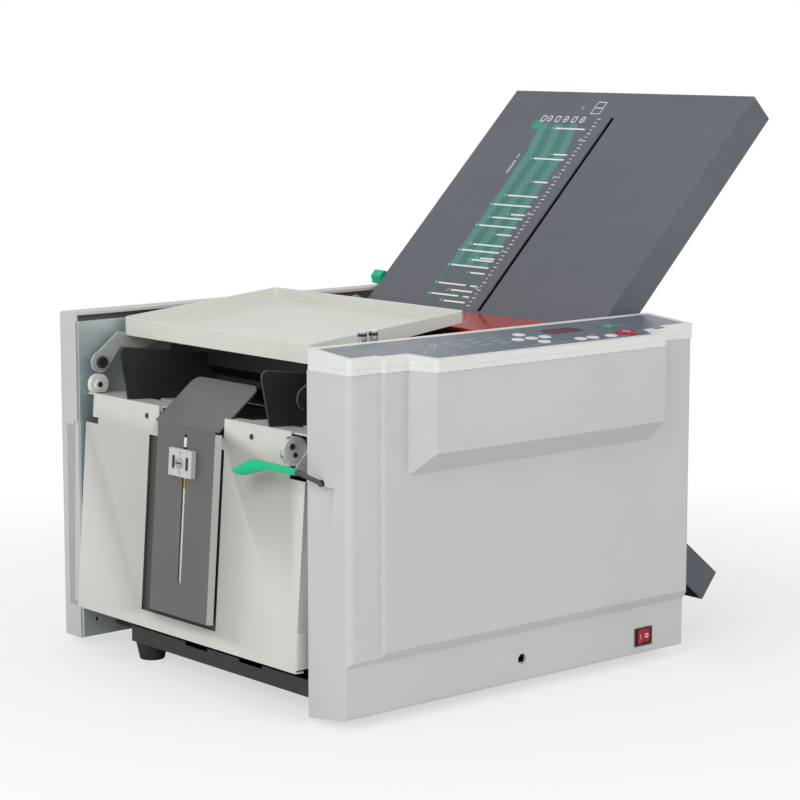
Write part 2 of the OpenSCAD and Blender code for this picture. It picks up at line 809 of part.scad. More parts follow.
module cross_ties() {
  color("silver") placed() {
    for (c = tie_places) rod_y(c, -frame_in_y, frame_in_y, tie_d);
    // posts that the guard lies on
    for (y = guard_post_y) translate([guard_tie_x, y, guard_tie_z])
      cylinder(d = 8, h = guard_under(guard_tie_x) - seat_gap - guard_tie_z);
  }
}

module frame_screws() {
  color("dimgray") placed() {
    for (s = [-1, 1]) for (c = tie_places) {
      y = s > 0 ? frame_out_y : -frame_out_y - tie_screw_h;
      rod_y(c, y, y + tie_screw_h, tie_screw_d);
    }
    // shoulder screws that the tray's arms turn on, and the pins that the arms rest on
    rod_y(arm_pivot, arm_far_y - seat_gap - shoulder_h, arm_far_y - seat_gap, shoulder_d);
    rod_y(arm_pivot, arm_far_y - 1, frame_in_y, arm_pin_d);
    rod_y(arm_pivot, -frame_in_y, arm_near_y + arm_t + 1, arm_pin_d);
    rod_y(arm_pivot, arm_near_y + arm_t + seat_gap, arm_near_y + arm_t + seat_gap + shoulder_h, shoulder_d);
    rod_y([rest_pin_x, rest_pin_z], arm_far_y - 1, frame_in_y, rest_pin_d);
    rod_y([rest_pin_x, rest_pin_z], -frame_in_y, arm_near_y + arm_t + 1, rest_pin_d);
    // foot screws
    for (f = foot_places) translate([f[0], f[1], foot_h + pan_t]) cylinder(d = 9, h = 3);
    for (f = foot_places) translate([f[0], f[1], foot_sink])
      cylinder(d = foot_screw_d, h = foot_h + pan_t - foot_sink + 1);
    // panel screws near the feed end panel's top corners
    for (y = panel_screw_y) on_end_panel() translate([-0.8, y, end_h - panel_screw_drop]) rotate([0, 90, 0])
      cylinder(d = 5, h = 0.8);
  }
}

module bush(c, y0, s, od, id) {
  difference() {
    union() {
      rod_y(c, s > 0 ? y0 : y0 - frame_t, s > 0 ? y0 + frame_t : y0, od);
      rod_y(c, s > 0 ? y0 - 2 : y0, s > 0 ? y0 : y0 + 2, od + 4);
    }
    rod_y(c, y0 - frame_t - 5, y0 + frame_t + 5, id);
  }
}

module roller_bearings() {
  color("tan") placed() for (s = [-1, 1]) {
    for (c = roller_centres) bush(c, s * frame_in_y, s, bush_od, journal_d + 2 * journal_gap);
    bush(feed_c, s * frame_in_y, s, feed_bush_od, feed_shaft_d + 2 * journal_gap);
  }
}

module rear_panel() {
  x = frame_x1 - 8;
  z1 = tie_under_1(384) - 14;
  z0 = p2[1] + (p2[0] - x) * tan(plate_2_angle) + 8;
  color("beige") placed() {
    block([x, -frame_in_y + 0.3, z0], [x + 1.5, frame_in_y - 0.3, z1]);
    block([x + 1.5, -frame_in_y + 0.3, z0], [x + 8, frame_in_y - 0.3, z0 + 1.5]);
    block([x + 1.5, -frame_in_y + 0.3, z1 - 1.5], [x + 8, frame_in_y - 0.3, z1]);
  }
}

// ---------- feed end ----------

// Pressed sheet of the panel, before its screw bores
module panel_sheet() {
  on_end_panel() {
    difference() {
      translate([0, -end_y, 0]) cube([end_t, 2 * end_y, end_h]);
      // recess behind the tongue, cuts at the top corners and for the tongue's fold
      translate([-eps, recess_y[0], recess_s0]) cube([end_t + 2 * eps, recess_w, recess_top - recess_s0]);
      translate([-eps, -tongue_w / 2 - 2, notch_s]) cube([end_t + 2 * eps, tongue_w + 4, end_h]);
      translate([-eps, end_y - corner_in, end_h - corner_l]) cube([end_t + 2 * eps, corner_in + 1, end_h]);
      translate([-eps, end_y - corner_in - 9, end_h - corner_l]) cube([end_t + 2 * eps, corner_in, 6]);
      translate([-eps, -end_y - 1, end_h - near_cut[1]]) cube([end_t + 2 * eps, near_cut[0] + 1, end_h]);
    }
    // recess floor and its walls
    translate([recess_d, recess_y[0], recess_s0]) cube([end_t, recess_w, recess_top - recess_s0]);
    for (y = [recess_y[0] - end_t, recess_y[1]]) translate([0, y, recess_s0])
      cube([recess_d + end_t, end_t, recess_top - recess_s0]);
    for (z = [recess_s0 - end_t, recess_top]) translate([0, recess_y[0] - end_t, z])
      cube([recess_d + end_t, recess_w + 2 * end_t, end_t]);
    // foot lip
    translate([0, -end_y, -end_t]) cube([9, 2 * end_y, end_t]);
  }
  // side walls; the near one rises behind the cut corner and has a doubled foot
  slab_y(-end_y, end_t) polygon([
    [end_line(return_z0), return_z0], [end_flange_x - seat_gap, return_z0],
    [end_flange_x - seat_gap, end_flange_z + 0.4], [near_wall_x, end_flange_z + 0.4],
    [near_wall_x, near_wall_z], [end_line(near_cut_z), near_cut_z]
  ]);
  slab_y(-end_y - corner_t, corner_t + 0.2) polygon([
    [end_line(return_z0) + seat_gap, return_z0 + seat_gap], [end_flange_x - 2 * seat_gap, return_z0 + seat_gap],
    [end_flange_x - 2 * seat_gap, return_z0 + corner_h],
    [end_line(return_z0 + corner_h) + seat_gap, return_z0 + corner_h]
  ]);
  slab_y(end_y - end_t, end_t) polygon([
    [end_line(return_z0), return_z0], [end_flange_x - seat_gap, return_z0],
    [end_flange_x - seat_gap, end_flange_z], [end_line(end_flange_z), end_flange_z]
  ]);
}

module feed_end_panel() {
  color("beige") placed() difference() {
    panel_sheet();
    on_end_panel() translate([-1, 0, block_s]) rotate([0, 90, 0]) cylinder(d = screw_d + 0.1, h = 8);
  }
}

// Side gussets that carry the panel on the frame
module end_gusset(y0) {
  slab_y(y0, 1.5) polygon([
    [end_base_x + end_t * 1.2, end_base_z + 2],
    [end_flange_x + 1.5, end_base_z + 2],
    [end_flange_x + 1.5, end_flange_z],
    [end_base_x + end_t * 1.2 + (end_flange_z - end_base_z) * tan(end_lean), end_flange_z]
  ]);
}

// Section of the tongue's upright part: its sides fold back towards the panel
module tongue_section() {
  x0 = -tongue_off - tongue_t;
  x1 = -tongue_off;
  x2 = -seat_gap;
  w = tongue_w / 2;
  f = w - tongue_side;
  polygon([
    [x0, -f], [x0, f], [x2, w], [x2, w - 2.2], [x1, f - 0.9],
    [x1, -f + 0.9], [x2, -w + 2.2], [x2, -w]
  ]);
}

// Tongue: upright part with its slot, and the upper leaf
module support_tongue() {
  color("gray") placed() difference() {
    on_end_panel() {
      translate([0, 0, tongue_s0]) linear_extrude(tongue_len - 3) tongue_section();
      translate([-tongue_off - tongue_t, -tongue_w / 2 + tongue_side, tongue_s0])
        cube([tongue_t, tongue_w - 2 * tongue_side, tongue_len]);
      translate([-tongue_off - tongue_t, 0, tongue_s0 + tongue_len - 0.2])
        rotate([0, 90 - end_lean - leaf_rise, 0])
        rotate([90, 0, 90]) linear_extrude(tongue_t) polygon(rounded([
          [-tongue_w / 2, 0, 0], [tongue_w / 2, 0, 0],
          [tongue_w / 2, leaf_len, leaf_r], [-tongue_w / 2, leaf_len, leaf_r]
        ]));
    }
    on_end_panel() translate([-tongue_off - tongue_t - 2, -slot_w / 2, tongue_s0 + slot_s0])
      cube([tongue_off + tongue_t + 2, slot_w, slot_s1 - slot_s0]);
  }
}

block_x = -tongue_off - tongue_t - seat_gap;
guide_rod_x = -tongue_off + seat_gap + guide_rod_d / 2;
guide_rod_s1 = block_s - 12;

module clamp_block() {
  color("white") placed() {
    difference() {
      on_end_panel() translate([block_x - block_t, -block_w / 2, block_s - block_h / 2])
        cube([block_t, block_w, block_h]);
      on_end_panel() {
        translate([block_x - block_t - 1, 0, block_s]) rotate([0, 90, 0])
          cylinder(d = screw_d + 0.1, h = block_t + 2);
        for (y = [-block_slot_y, block_slot_y]) translate([block_x - block_t - 1, y, block_s])
          rotate([90, 0, 90]) linear_extrude(block_t + 2) rotate(90) stadium(block_slot[0], block_slot[1]);
      }
    }
    // white guide rod behind the slot, on two feet
    on_end_panel() translate([guide_rod_x, guide_rod_y, guide_rod_s0])
      cylinder(d = guide_rod_d, h = guide_rod_s1 - guide_rod_s0);
    for (z = [guide_rod_s0, guide_rod_s1 - 3]) on_end_panel()
      translate([guide_rod_x, guide_rod_y - 1.5, z]) cube([recess_d - guide_rod_x, 3, 3]);
  }
}

module clamp_screw() {
  color("silver") placed() on_end_panel() translate([0, 0, block_s]) {
    translate([block_x - block_t - 2.5, 0, 0]) rotate([0, 90, 0]) difference() {
      cylinder(d = 9, h = 2.2);
      translate([-0.7, -5, -eps]) cube([1.4, 10, 1.2]);
    }
    translate([block_x - block_t - 0.5, 0, 0]) rotate([0, 90, 0])
      cylinder(d = screw_d, h = block_t - block_x + recess_d + end_t + 2.5);
  }
}

post_places = [[70.5, -frame_in_y + 8], [82.5, -frame_in_y + 8]];
post_d = 8;
near_disc = [4.5, 227.5];
near_disc_d = 25;
near_disc_y = -frame_in_y + 16;
far_disc = [15.5, 250];
far_disc_y = frame_in_y - 11;
lever_ear_x = [10, 54];
post_plate_z = 304;

module steel_brackets() {
  color("silver") placed() {
    for (s = [-1, 1]) end_gusset(s > 0 ? end_y - 4 : -end_y + 2.5);
    // flanges from the gussets to the frame plates
    for (s = [-1, 1]) block([end_flange_x, s > 0 ? end_y - 4 : -frame_in_y, end_base_z + 2],
      [end_flange_x + 1.5, s > 0 ? frame_in_y : -end_y + 4, end_flange_z]);
    // disc behind its triangular plate at the near top corner
    slab_y(near_disc_y - 1.5, 1.5) translate(near_disc)
      polygon([[-4, -17], [16.5, 4], [21, 4], [21, -26], [16.5, -26]]);
    rod_y(near_disc, near_disc_y, near_disc_y + 6, near_disc_d);
    rod_y(near_disc + [-4, 3], near_disc_y + 6, near_disc_y + 7.5, 5);
    rod_y(near_disc + [-2, -5], near_disc_y + 6, near_disc_y + 7.5, 4);
    block([near_disc[0] + 19.5, -frame_in_y, near_disc[1] - 26],
          [near_disc[0] + 21, near_disc_y, near_disc[1] + 4]);
    // flat-footed disc at the far top corner
    difference() {
      rod_y(far_disc, far_disc_y, far_disc_y + 5, 20);
      block([far_disc[0] - 12, far_disc_y - 1, far_disc[1] - 12],
            [far_disc[0] + 12, far_disc_y + 6, far_disc[1] - 7.5]);
    }
    rod_y(far_disc, far_disc_y - 1.4, far_disc_y, 10);
    rod_y(far_disc, far_disc_y + 5, frame_in_y, 6);
    // latch posts on their angle plate beside the tray
    for (p = post_places) translate([p[0], p[1], post_plate_z + 2]) cylinder(d = post_d, h = 18);
    block([58, -frame_in_y, post_plate_z], [96, -frame_in_y + 13.5, post_plate_z + 2]);
    block([58, -frame_in_y, post_plate_z - 18], [96, -frame_in_y + 2, post_plate_z + 2]);
    // ears that the lever's shaft turns in
    for (x = lever_ear_x) difference() {
      block([x, lever_y - 6, lever_z - 6], [x + 3, -frame_out_y, lever_z + 6]);
      rod_x(x - 1, x + 4, lever_y, lever_z, lever_rod_d + 0.1);
    }
  }
}

// ---------- feed ----------

guide_tab_x = [40, 84];
guide_t = 2;
guide_tab_w = 8;

function guide_slot_y0() = guide_half_w - 37;
function guide_slot_y1() = guide_half_w + 50;

module table_plane(x0, y0, x1, y1) {
  translate([table_x0, 0, table_z]) rotate([0, table_fall, 0])
    translate([x0 - table_x0, y0, -table_t]) cube([x1 - x0, y1 - y0, table_t]);
}

module feed_table() {
  color("lightgray") placed() {
    difference() {
      table_plane(table_x0, -frame_in_y + 0.3, table_x1, frame_in_y - 0.3);
      translate([table_x0, 0, table_z]) rotate([0, table_fall, 0]) {
        translate([lift_x0 - table_x0 - 2.5, -lift_w / 2 - 1, -4])
          cube([lift_x1 - lift_x0 + 4, lift_w + 2, 6]);
        // notch for the tongue's leaf
        translate([-eps, -tongue_w / 2 - 2, -4]) cube([12, tongue_w + 4, 6]);
        for (s = [-1, 1]) for (x = guide_tab_x) translate([x - table_x0 - 0.6,
          s > 0 ? guide_slot_y0() : -guide_slot_y1(), -4])
          cube([guide_tab_w + 1.2, guide_slot_y1() - guide_slot_y0(), 6]);
      }
    }
    // outer edge turned down
    for (y = [[-136, -tongue_w / 2 - 2], [tongue_w / 2 + 2, 150]])
      block([table_x0, y[0], table_z - 9], [table_x0 + table_t, y[1], table_z - 1]);
    // lugs for the lift plate's pins
    for (s = [-1, 1]) difference() {
      translate([lift_pin[0] - 5, s > 0 ? lift_w / 2 + 1.2 : -lift_w / 2 - 4.2, lift_pin[1] - 5])
        cube([10, 3, table_top(lift_pin[0]) - lift_pin[1] + 4.1]);
      rod_y(lift_pin, s * lift_w / 2 - 6, s * lift_w / 2 + 6, lift_pin_d + 0.1);
    }
  }
}

module lift_plate() {
  color("silver") placed() {
    difference() {
      table_plane(lift_x0, -lift_w / 2, lift_x1, lift_w / 2);
      rod_y(lift_pin, -lift_w, lift_w, 7.6);
    }
    rod_y(lift_pin, -lift_w / 2 - 4.2, lift_w / 2 + 4.2, lift_pin_d);
    for (s = [-1, 1]) slab_y(s > 0 ? lift_w / 2 - 3 : -lift_w / 2 + 1, 2) polygon([
      [lift_pin[0] - 3, lift_pin[1] - 3], [lift_pin[0] + 8, lift_pin[1] - 3],
      [lift_x1 - 12, table_top(lift_x1) - table_t - 1],
      [lift_x1 - 12, table_top(lift_x1 - 12) - table_t + 0.2],
      [lift_pin[0] - 3, table_top(lift_pin[0]) - table_t + 0.2]
    ]);
    // rod that the lever's cam lifts, on its two legs
    rod_y([lift_rod_x, lift_rod_z], lift_rod_y, -lift_w / 2 + 4, lift_rod_d);
    slab_y(-lift_w / 2 + 1, 3) polygon([
      [lift_rod_x - 3, lift_rod_z - 1], [lift_rod_x + 3, lift_rod_z - 1],
      [lift_rod_x + 8, table_top(lift_rod_x + 8) - table_t + 0.2],
      [lift_rod_x - 8, table_top(lift_rod_x - 8) - table_t + 0.2]
    ]);
  }
}

// Side guide: upright plate, foot, two tabs through the table's slots and a bar under the table
module side_guide(s) {
  y_in = s > 0 ? guide_half_w : -guide_half_w - guide_t;
  x0 = 12;
  x1 = 104;
  lean = 10;
  zt = 0.3;
  bar_x0 = guide_tab_x[0];
  bar_x1 = guide_tab_x[1] + guide_tab_w;
  slab_y(y_in, guide_t) polygon(rounded([
    [x0, table_top(x0) + zt, 0], [x1, table_top(x1) + zt, 0],
    [x1, table_top(x1) + guide_h - 8, 4], [x0 - lean, table_top(x0) + guide_h, 6]
  ]));
  for (x = guide_tab_x) slab_y(y_in, guide_t) polygon([
    [x, table_top(x) + 1], [x + guide_tab_w, table_top(x) + 1],
    [x + guide_tab_w, table_top(x) - 6], [x, table_top(x) - 6]
  ]);
  // bar that hooks the tabs under the table
  slab_y(y_in - (s > 0 ? 0 : 4), guide_t + 4) polygon([
    [bar_x0, table_top(bar_x0) - table_t / cos(table_fall) - seat_gap],
    [bar_x1, table_top(bar_x1) - table_t / cos(table_fall) - seat_gap],
    [bar_x1, table_top(bar_x1) - 7], [bar_x0, table_top(bar_x0) - 7]
  ]);
}

module side_guide_left() {
  color("black") placed() side_guide(1);
}

module side_guide_right() {
  color("black") placed() side_guide(-1);
}

tyre_w = 24;
tyre_places = [-60, 0, 60];

module feed_roller() {
  color("dimgray") placed() {
    rod_y(feed_c, -frame_out_y - 4, frame_out_y + 6, feed_shaft_d);
    for (y = tyre_places) difference() {
      rod_y(feed_c, y - tyre_w / 2, y + tyre_w / 2, feed_roller_d);
      rod_y(feed_c, y - tyre_w, y + tyre_w, feed_shaft_d);
    }
  }
}

module feed_motor() {
  color("dimgray") placed() difference() {
    rod_y(feed_c, frame_out_y, frame_out_y + 22, 40);
    rod_y(feed_c, frame_out_y - 1, frame_out_y + 8, feed_shaft_d + 1);
  }
}

pad_z = feed_z - feed_roller_d / 2 - 1.2;

module separation_pad() {
  color("saddlebrown") placed() {
    block([feed_x - 6, -20, pad_z - 4], [feed_x + 8, 20, pad_z]);
    block([feed_x - 8, -24, pad_z - 7], [feed_x + 10, 24, pad_z - 4]);
    block([feed_x - 2, -frame_in_y, pad_z - 13], [feed_x + 6, frame_in_y, pad_z - 7]);
  }
}

// Feed path between the feed roller and the first nip
path = [
  [feed_x + 14, pad_z + 1],
  [c1[0] - 50, c2[1] + 8],
  [c2[0] - 46, c2[1] - 12],
  [c2[0] - 30, c2[1] - 8]
];
function path_dir(i) = unit(path[min(i + 1, len(path) - 1)] - path[max(i - 1, 0)]);
function path_side(off) = [for (i = [0:len(path) - 1]) path[i] + off * [-path_dir(i)[1], path_dir(i)[0]]];
function reversed(v) = [for (i = [len(v) - 1:-1:0]) v[i]];
module path_strip(o0, o1) {
  polygon(concat(path_side(o0), reversed(path_side(o1))));
}

chute_half_w = 150;
hood_t = 1.2;
hood_x = feed_x - feed_roller_d / 2 - 0.6 - hood_t;
hood_half_w = 146;
hood_z0 = feed_z - feed_roller_d / 2 + 4;
hood_z1 = feed_z + feed_roller_d / 2 + 3.5;

module paper_chutes() {
  color("dimgray") placed() {
    slab_y(-chute_half_w, 2 * chute_half_w) path_strip(-3.2, -2);
    slab_y(-chute_half_w, 2 * chute_half_w) path_strip(3, 4.2);
    // ends that tie the two guide plates and reach the frames
    for (s = [-1, 1]) slab_y(s > 0 ? chute_half_w : -frame_in_y, frame_in_y - chute_half_w)
      path_strip(-3.2, 4.2);
    // hood in front of the feed roller and over it
    block([hood_x, -hood_half_w, hood_z0], [hood_x + hood_t, hood_half_w, hood_z1]);
    block([hood_x, -hood_half_w, hood_z1 - hood_t], [hood_x + 46, hood_half_w, hood_z1]);
    for (y = [-frame_in_y, hood_half_w])
      block([hood_x, y, hood_z0], [hood_x + hood_t, y + frame_in_y - hood_half_w, hood_z0 + 14]);
    // delivery slide from the third nip down to the slot under the feed end panel
    slab_y(-chute_half_w - 14, 2 * chute_half_w + 28) polygon([
      [nip_3[0] - 12, nip_3[1] - 22], [nip_3[0] - 12, nip_3[1] - 23.5],
      [26, foot_h + pan_h + 0.5], [24, foot_h + pan_h + 2]
    ]);
    for (s = [-1, 1]) for (x = [90, 220]) {
      zc = foot_h + pan_h + (x - 26) / (nip_3[0] - 38) * (nip_3[1] - 24 - foot_h - pan_h) - 6;
      block([x - 4, s > 0 ? chute_half_w : -frame_in_y, zc],
            [x + 4, s > 0 ? frame_in_y : -chute_half_w, zc + 4]);
    }
  }
}

// ---------- lever ----------

grip_y0 = lever_y + 14.5;
grip_y1 = grip_y0 + grip_len;
grip_z = lever_z + 9.4;     // height of the straight rod inside the grip
grip_rod_end = grip_y0 + 30;
lever_knuckle = lever_rod_d / 2;   // half length of the collar at each bend
lever_slant = [lever_x, grip_y0 - lever_knuckle - lever_y, grip_z - lever_z];

module feed_lever() {
  color("silver") placed() {
    rod_x(0, cam_x + 20, lever_y, lever_z, lever_rod_d);
    // slanting part in front of the cover, from the shaft's end to the grip
    rod_x(-lever_knuckle, lever_knuckle, lever_y, lever_z, lever_rod_d + 1);
    translate([0, lever_y, lever_z])
      rotate([0, acos(lever_slant[2] / norm(lever_slant)), atan2(lever_slant[1], lever_slant[0])])
      cylinder(d = lever_rod_d, h = norm(lever_slant));
    rod_y([lever_x, grip_z], grip_y0 - 2 * lever_knuckle, grip_y0 - 0.1, lever_rod_d + 1);
    rod_y([lever_x, grip_z], grip_y0 - lever_knuckle, grip_rod_end, lever_rod_d);
    // cam arm under the lift rod
    translate([cam_x + 1, lever_y, lever_z]) rotate([90, 0, 90]) rotate(-cam_drop)
      linear_extrude(16) {
        circle(d = 11);
        translate([0, -3]) square([cam_len, 6]);
        translate([cam_len, 0]) circle(d = 6);
      }
  }
}

// Grip: side outline (Y, Z) crossed with a plan outline
module lever_grip() {
  color("mediumseagreen") placed() difference() {
    intersection() {
      slab_x(lever_x - grip_w, 2 * grip_w) polygon(rounded([
        [grip_y0, grip_z - 2.8, 2], [grip_y0, grip_z + 2.8, 2], [grip_y0 + 38, grip_z + 3.6, 20],
        [grip_y0 + 60, grip_z + 4, 14], [grip_y1 - 4, grip_z - 5.5, 4], [grip_y1, grip_z - 10, 2],
        [grip_y1 - 13, grip_z - 12.4, 12], [grip_y0 + 66, grip_z - 10.8, 12], [grip_y0 + 40, grip_z - 2.8, 16]
      ]));
      translate([lever_x, 0, 0]) linear_extrude(2 * lever_z) polygon(rounded([
        [-3.4, grip_y0, 2], [3.4, grip_y0, 2], [3.6, grip_y0 + 36, 20], [grip_w / 2, grip_y0 + 60, 14],
        [grip_w / 2, grip_y1, 6.5], [-grip_w / 2, grip_y1, 6.5], [-grip_w / 2, grip_y0 + 60, 14],
        [-3.6, grip_y0 + 36, 20]
      ]));
    }
    rod_y([lever_x, grip_z], grip_y0 - 2, grip_rod_end + 0.02, lever_rod_d + 0.04);
  }
}

// ---------- top tray and guard ----------

function tray_profile(lift) = [
  [tray_x, tray_under(tray_x) + lift], [tray_x1, tray_under(tray_x1) + lift],
  [tray_x1, tray_under(tray_x1) + tray_rim_end], [tray_x, tray_under(tray_x) + tray_rim]
];

module tray_outline(g) {
  translate([0, 0, tray_z - 5]) linear_extrude(60) polygon(rounded([
    [tray_x + g, tray_y0 + g, 6 - g], [tray_x1 - g, tray_y0 + g, 6 - g],
    [tray_x1 - g, tray_y1 - g, 6 - g], [tray_x + g, tray_y1 - g, 6 - g]
  ]));
}

module top_tray() {
  color("beige") placed() difference() {
    intersection() {
      slab_y(tray_y0, tray_y1 - tray_y0) polygon(tray_profile(0));
      tray_outline(0);
    }
    intersection() {
      slab_y(tray_y0, tray_y1 - tray_y0) polygon([
        [tray_x - 5, tray_under(tray_x - 5) + tray_t], [tray_x1 + 5, tray_under(tray_x1 + 5) + tray_t],
        [tray_x1 + 5, tray_under(tray_x1) + 40], [tray_x - 5, tray_under(tray_x) + 40]
      ]);
      tray_outline(tray_t);
    }
  }
}

arm_end_x = tray_x + 60;

module arm_plate(y0) {
  difference() {
    slab_y(y0, arm_t) {
      translate(arm_pivot) circle(d = 20);
      polygon([
        [arm_pivot[0] - 8.6, arm_pivot[1] + 5], [tray_x - 8, tray_under(tray_x) + 4],
        [tray_x - 0.3, tray_under(tray_x) + 3], [tray_x - 0.3, tray_under(tray_x) - 0.2],
        [arm_end_x, tray_under(arm_end_x) - 0.2], [arm_end_x, arm_under(arm_end_x)],
        [tray_x + 18, arm_under(tray_x + 18)], [tray_x + 8, arm_under(tray_x + 18)],
        [tray_x - 6, tray_under(tray_x) - 10], [arm_pivot[0] + 5, arm_pivot[1] - 8.6]
      ]);
    }
    rod_y(arm_pivot, y0 - 1, y0 + arm_t + 1, arm_pin_d + 0.1);
  }
}

module tray_arms() {
  color("lightgray") placed() {
    arm_plate(arm_far_y);
    arm_plate(arm_near_y);
    // bridge under the tray that joins the near arm to it
    slab_y(arm_near_y, tray_y0 - arm_near_y + 14) polygon([
      [tray_x + 6, tray_under(tray_x + 6) - 2], [tray_x + 56, tray_under(tray_x + 56) - 2],
      [tray_x + 56, tray_under(tray_x + 56)], [tray_x + 6, tray_under(tray_x + 6)]
    ]);
  }
}

guard_half_w = frame_in_y - 0.8;
knuckle_d = 7;

module red_guard() {
  color("tomato", 0.7) placed() {
    slab_y(-guard_half_w, 2 * guard_half_w) polygon([
      [guard_x0, guard_under(guard_x0)], [guard_x1, guard_under(guard_x1)],
      [guard_x1, guard_under(guard_x1) + guard_t], [guard_x0, guard_under(guard_x0) + guard_t]
    ]);
    // hinge knuckles and their pins
    for (s = [-1, 1]) {
      rod_y(guard_pivot, s > 0 ? guard_half_w - 12 : -guard_half_w, s > 0 ? guard_half_w : -guard_half_w + 12,
        knuckle_d);
      rod_y(guard_pivot, s > 0 ? guard_half_w - 1 : -frame_out_y, s > 0 ? frame_out_y : -guard_half_w + 1,
        guard_pin_d);
    }
  }
}

// ---------- fold plates ----------

// Box of bent sheet: skin, rims on both sides and the outer end, an inner paper sheet, long slot
module plate_box(len, lip, end_slot) {
  w = plate_half_w;
  difference() {
    union() {
      translate([-len, -w, -plate_t]) cube([len, 2 * w, plate_t]);
      translate([-len - lip, -w + 14, -sheet_t]) cube([lip + 1, 2 * w - 28, sheet_t]);
    }
    translate([-len - eps, -w + sheet_t, -sheet_t - paper_gap])
      cube([len - 6 + eps, 2 * w - 2 * sheet_t, paper_gap]);
    translate([-len - eps, -w + sheet_t, -plate_t - eps])
      cube([len - sheet_t + eps, 2 * w - 2 * sheet_t, plate_t - 2 * sheet_t - paper_gap + eps]);
    // far rim's slot for the fold stop's stem
    translate([-end_slot[1] - stem_slot, w - sheet_t - 1, stop_n - stem_slot / 2])
      cube([end_slot[1] - end_slot[0] + 2 * stem_slot, sheet_t + 2, stem_slot]);
  }
}

module fold_plate_1() {
  color("slategray") placed() on_plate_1() difference() {
    plate_box(plate_1_len, lip_len, [slot_1_s0, stop_1_s]);
    translate([-slot_1_s1, -slot_w / 2, -sheet_t - eps])
      cube([slot_1_s1 - slot_1_s0, slot_w, sheet_t + 2 * eps]);
  }
}

module fold_plate_2() {
  color("slategray") placed() on_plate_2() plate_box(plate_2_len, lip_len, [20, stop_2_s]);
}

// Fold stop: a bar across the paper gap with its stem out through the far rim
module fold_stop(s) {
  translate([-s - 4, -plate_half_w + 8, stop_n - stop_t / 2]) cube([8, 2 * plate_half_w - 14, stop_t]);
  translate([-s, plate_half_w - 8, stop_n]) rotate([-90, 0, 0]) cylinder(d = stem_d, h = 8 + 2.5);
}

knob_gap = 2.8;         // the knob starts this far outside the plate's rim
knob_bore = 10;

module stop_knob(s) {
  translate([-s, plate_half_w + knob_gap, stop_n]) rotate([-90, 0, 0]) difference() {
    union() {
      cylinder(d = 16, h = 14, $fn = 6);
      cylinder(d = 10, h = 16);
    }
    translate([0, 0, -eps]) cylinder(d = stem_d + 0.1, h = knob_bore + eps);
  }
}

module fold_stop_1() {
  color("silver") placed() on_plate_1() {
    fold_stop(stop_1_s);
    translate([-stop_1_s, plate_half_w + 2, stop_n]) rotate([-90, 0, 0])
      cylinder(d = stem_d, h = knob_gap - 2 + knob_bore - 0.3);
  }
}

module stop_knob_1() {
  color("seagreen") placed() on_plate_1() stop_knob(stop_1_s);
}

module fold_stop_2() {
  color("silver") placed() on_plate_2() {
    fold_stop(stop_2_s);
    translate([-stop_2_s, plate_half_w + 2, stop_n]) rotate([-90, 0, 0]) cylinder(d = 16, h = 12);
  }
}

// ---------- fold rollers and drive ----------

module fold_roller(c, y_near) {
  rod_y(c, -y_near, frame_out_y + 4, journal_d);
  difference() {
    rod_y(c, -roller_len / 2, roller_len / 2, roller_d);
    rod_y(c, -roller_len, roller_len, journal_d);
  }
}

// Tooth outline at angle a, with backlash taken from the tooth's width
backlash = 0.24;
function tooth(a) =
  let (
    ra = gear_pitch_r + 0.85 * gear_module,
    rf = gear_pitch_r - 1.15 * gear_module,
    w = tooth_pitch / 4 - backlash / gear_pitch_r * 180 / PI
  )
  [
    rf * [cos(a - w * 1.55), sin(a - w * 1.55)],
    gear_pitch_r * [cos(a - w), sin(a - w)],
    ra * [cos(a - w * 0.4), sin(a - w * 0.4)],
    ra * [cos(a + w * 0.4), sin(a + w * 0.4)],
    gear_pitch_r * [cos(a + w), sin(a + w)],
    rf * [cos(a + w * 1.55), sin(a + w * 1.55)]
  ];
module gear_profile(phase) {
  polygon([for (i = [0:gear_teeth - 1]) each tooth(phase + i * tooth_pitch)]);
}

// Gear 2 has a tooth along X, and its neighbours' gaps meet its teeth on the centre lines
function line_angle(a, b) = atan2(b[1] - a[1], b[0] - a[0]);
tooth_pitch = 360 / gear_teeth;
function mate_phase(c) =
  let (a = line_angle(c2, c), k = a / tooth_pitch, frac = k - floor(k))
  a + 180 + (frac + 0.5) * tooth_pitch;

module gear(c, phase) {
  difference() {
    slab_y(-gear_y0 - gear_w, gear_w) translate(c) gear_profile(phase);
    rod_y(c, -gear_y0 - gear_w - 1, -gear_y0 + 1, journal_d);
  }
}

module pulley(c, r, shaft) {
  difference() {
    union() {
      rod_y(c, -pulley_y0 - pulley_w, -pulley_y0, 2 * r);
      for (y = [-pulley_y0 - pulley_w - 1.5, -pulley_y0]) rod_y(c, y, y + 1.5, 2 * r + 5);
    }
    rod_y(c, -pulley_y0 - pulley_w - 3, -pulley_y0 + 3, shaft);
  }
}

module main_motor() {
  color("dimgray") placed() difference() {
    union() {
      rod_y(motor_c, -frame_in_y + 2, -frame_in_y + motor_len, 2 * motor_r);
      slab_y(-frame_in_y, 2) translate(motor_c) square(62, center = true);
      rod_y(motor_c, -frame_out_y + 0.6, -frame_in_y + 2, 20);
    }
    rod_y(motor_c, -frame_out_y - 2, -frame_in_y + 30, motor_shaft_d + 0.2);
  }
}

module motor_pulley() {
  color("darkgray") placed() {
    rod_y(motor_c, -pulley_y0 - pulley_w - 3, -frame_in_y + 28, motor_shaft_d);
    pulley(motor_c, motor_pulley_r, motor_shaft_d);
  }
}

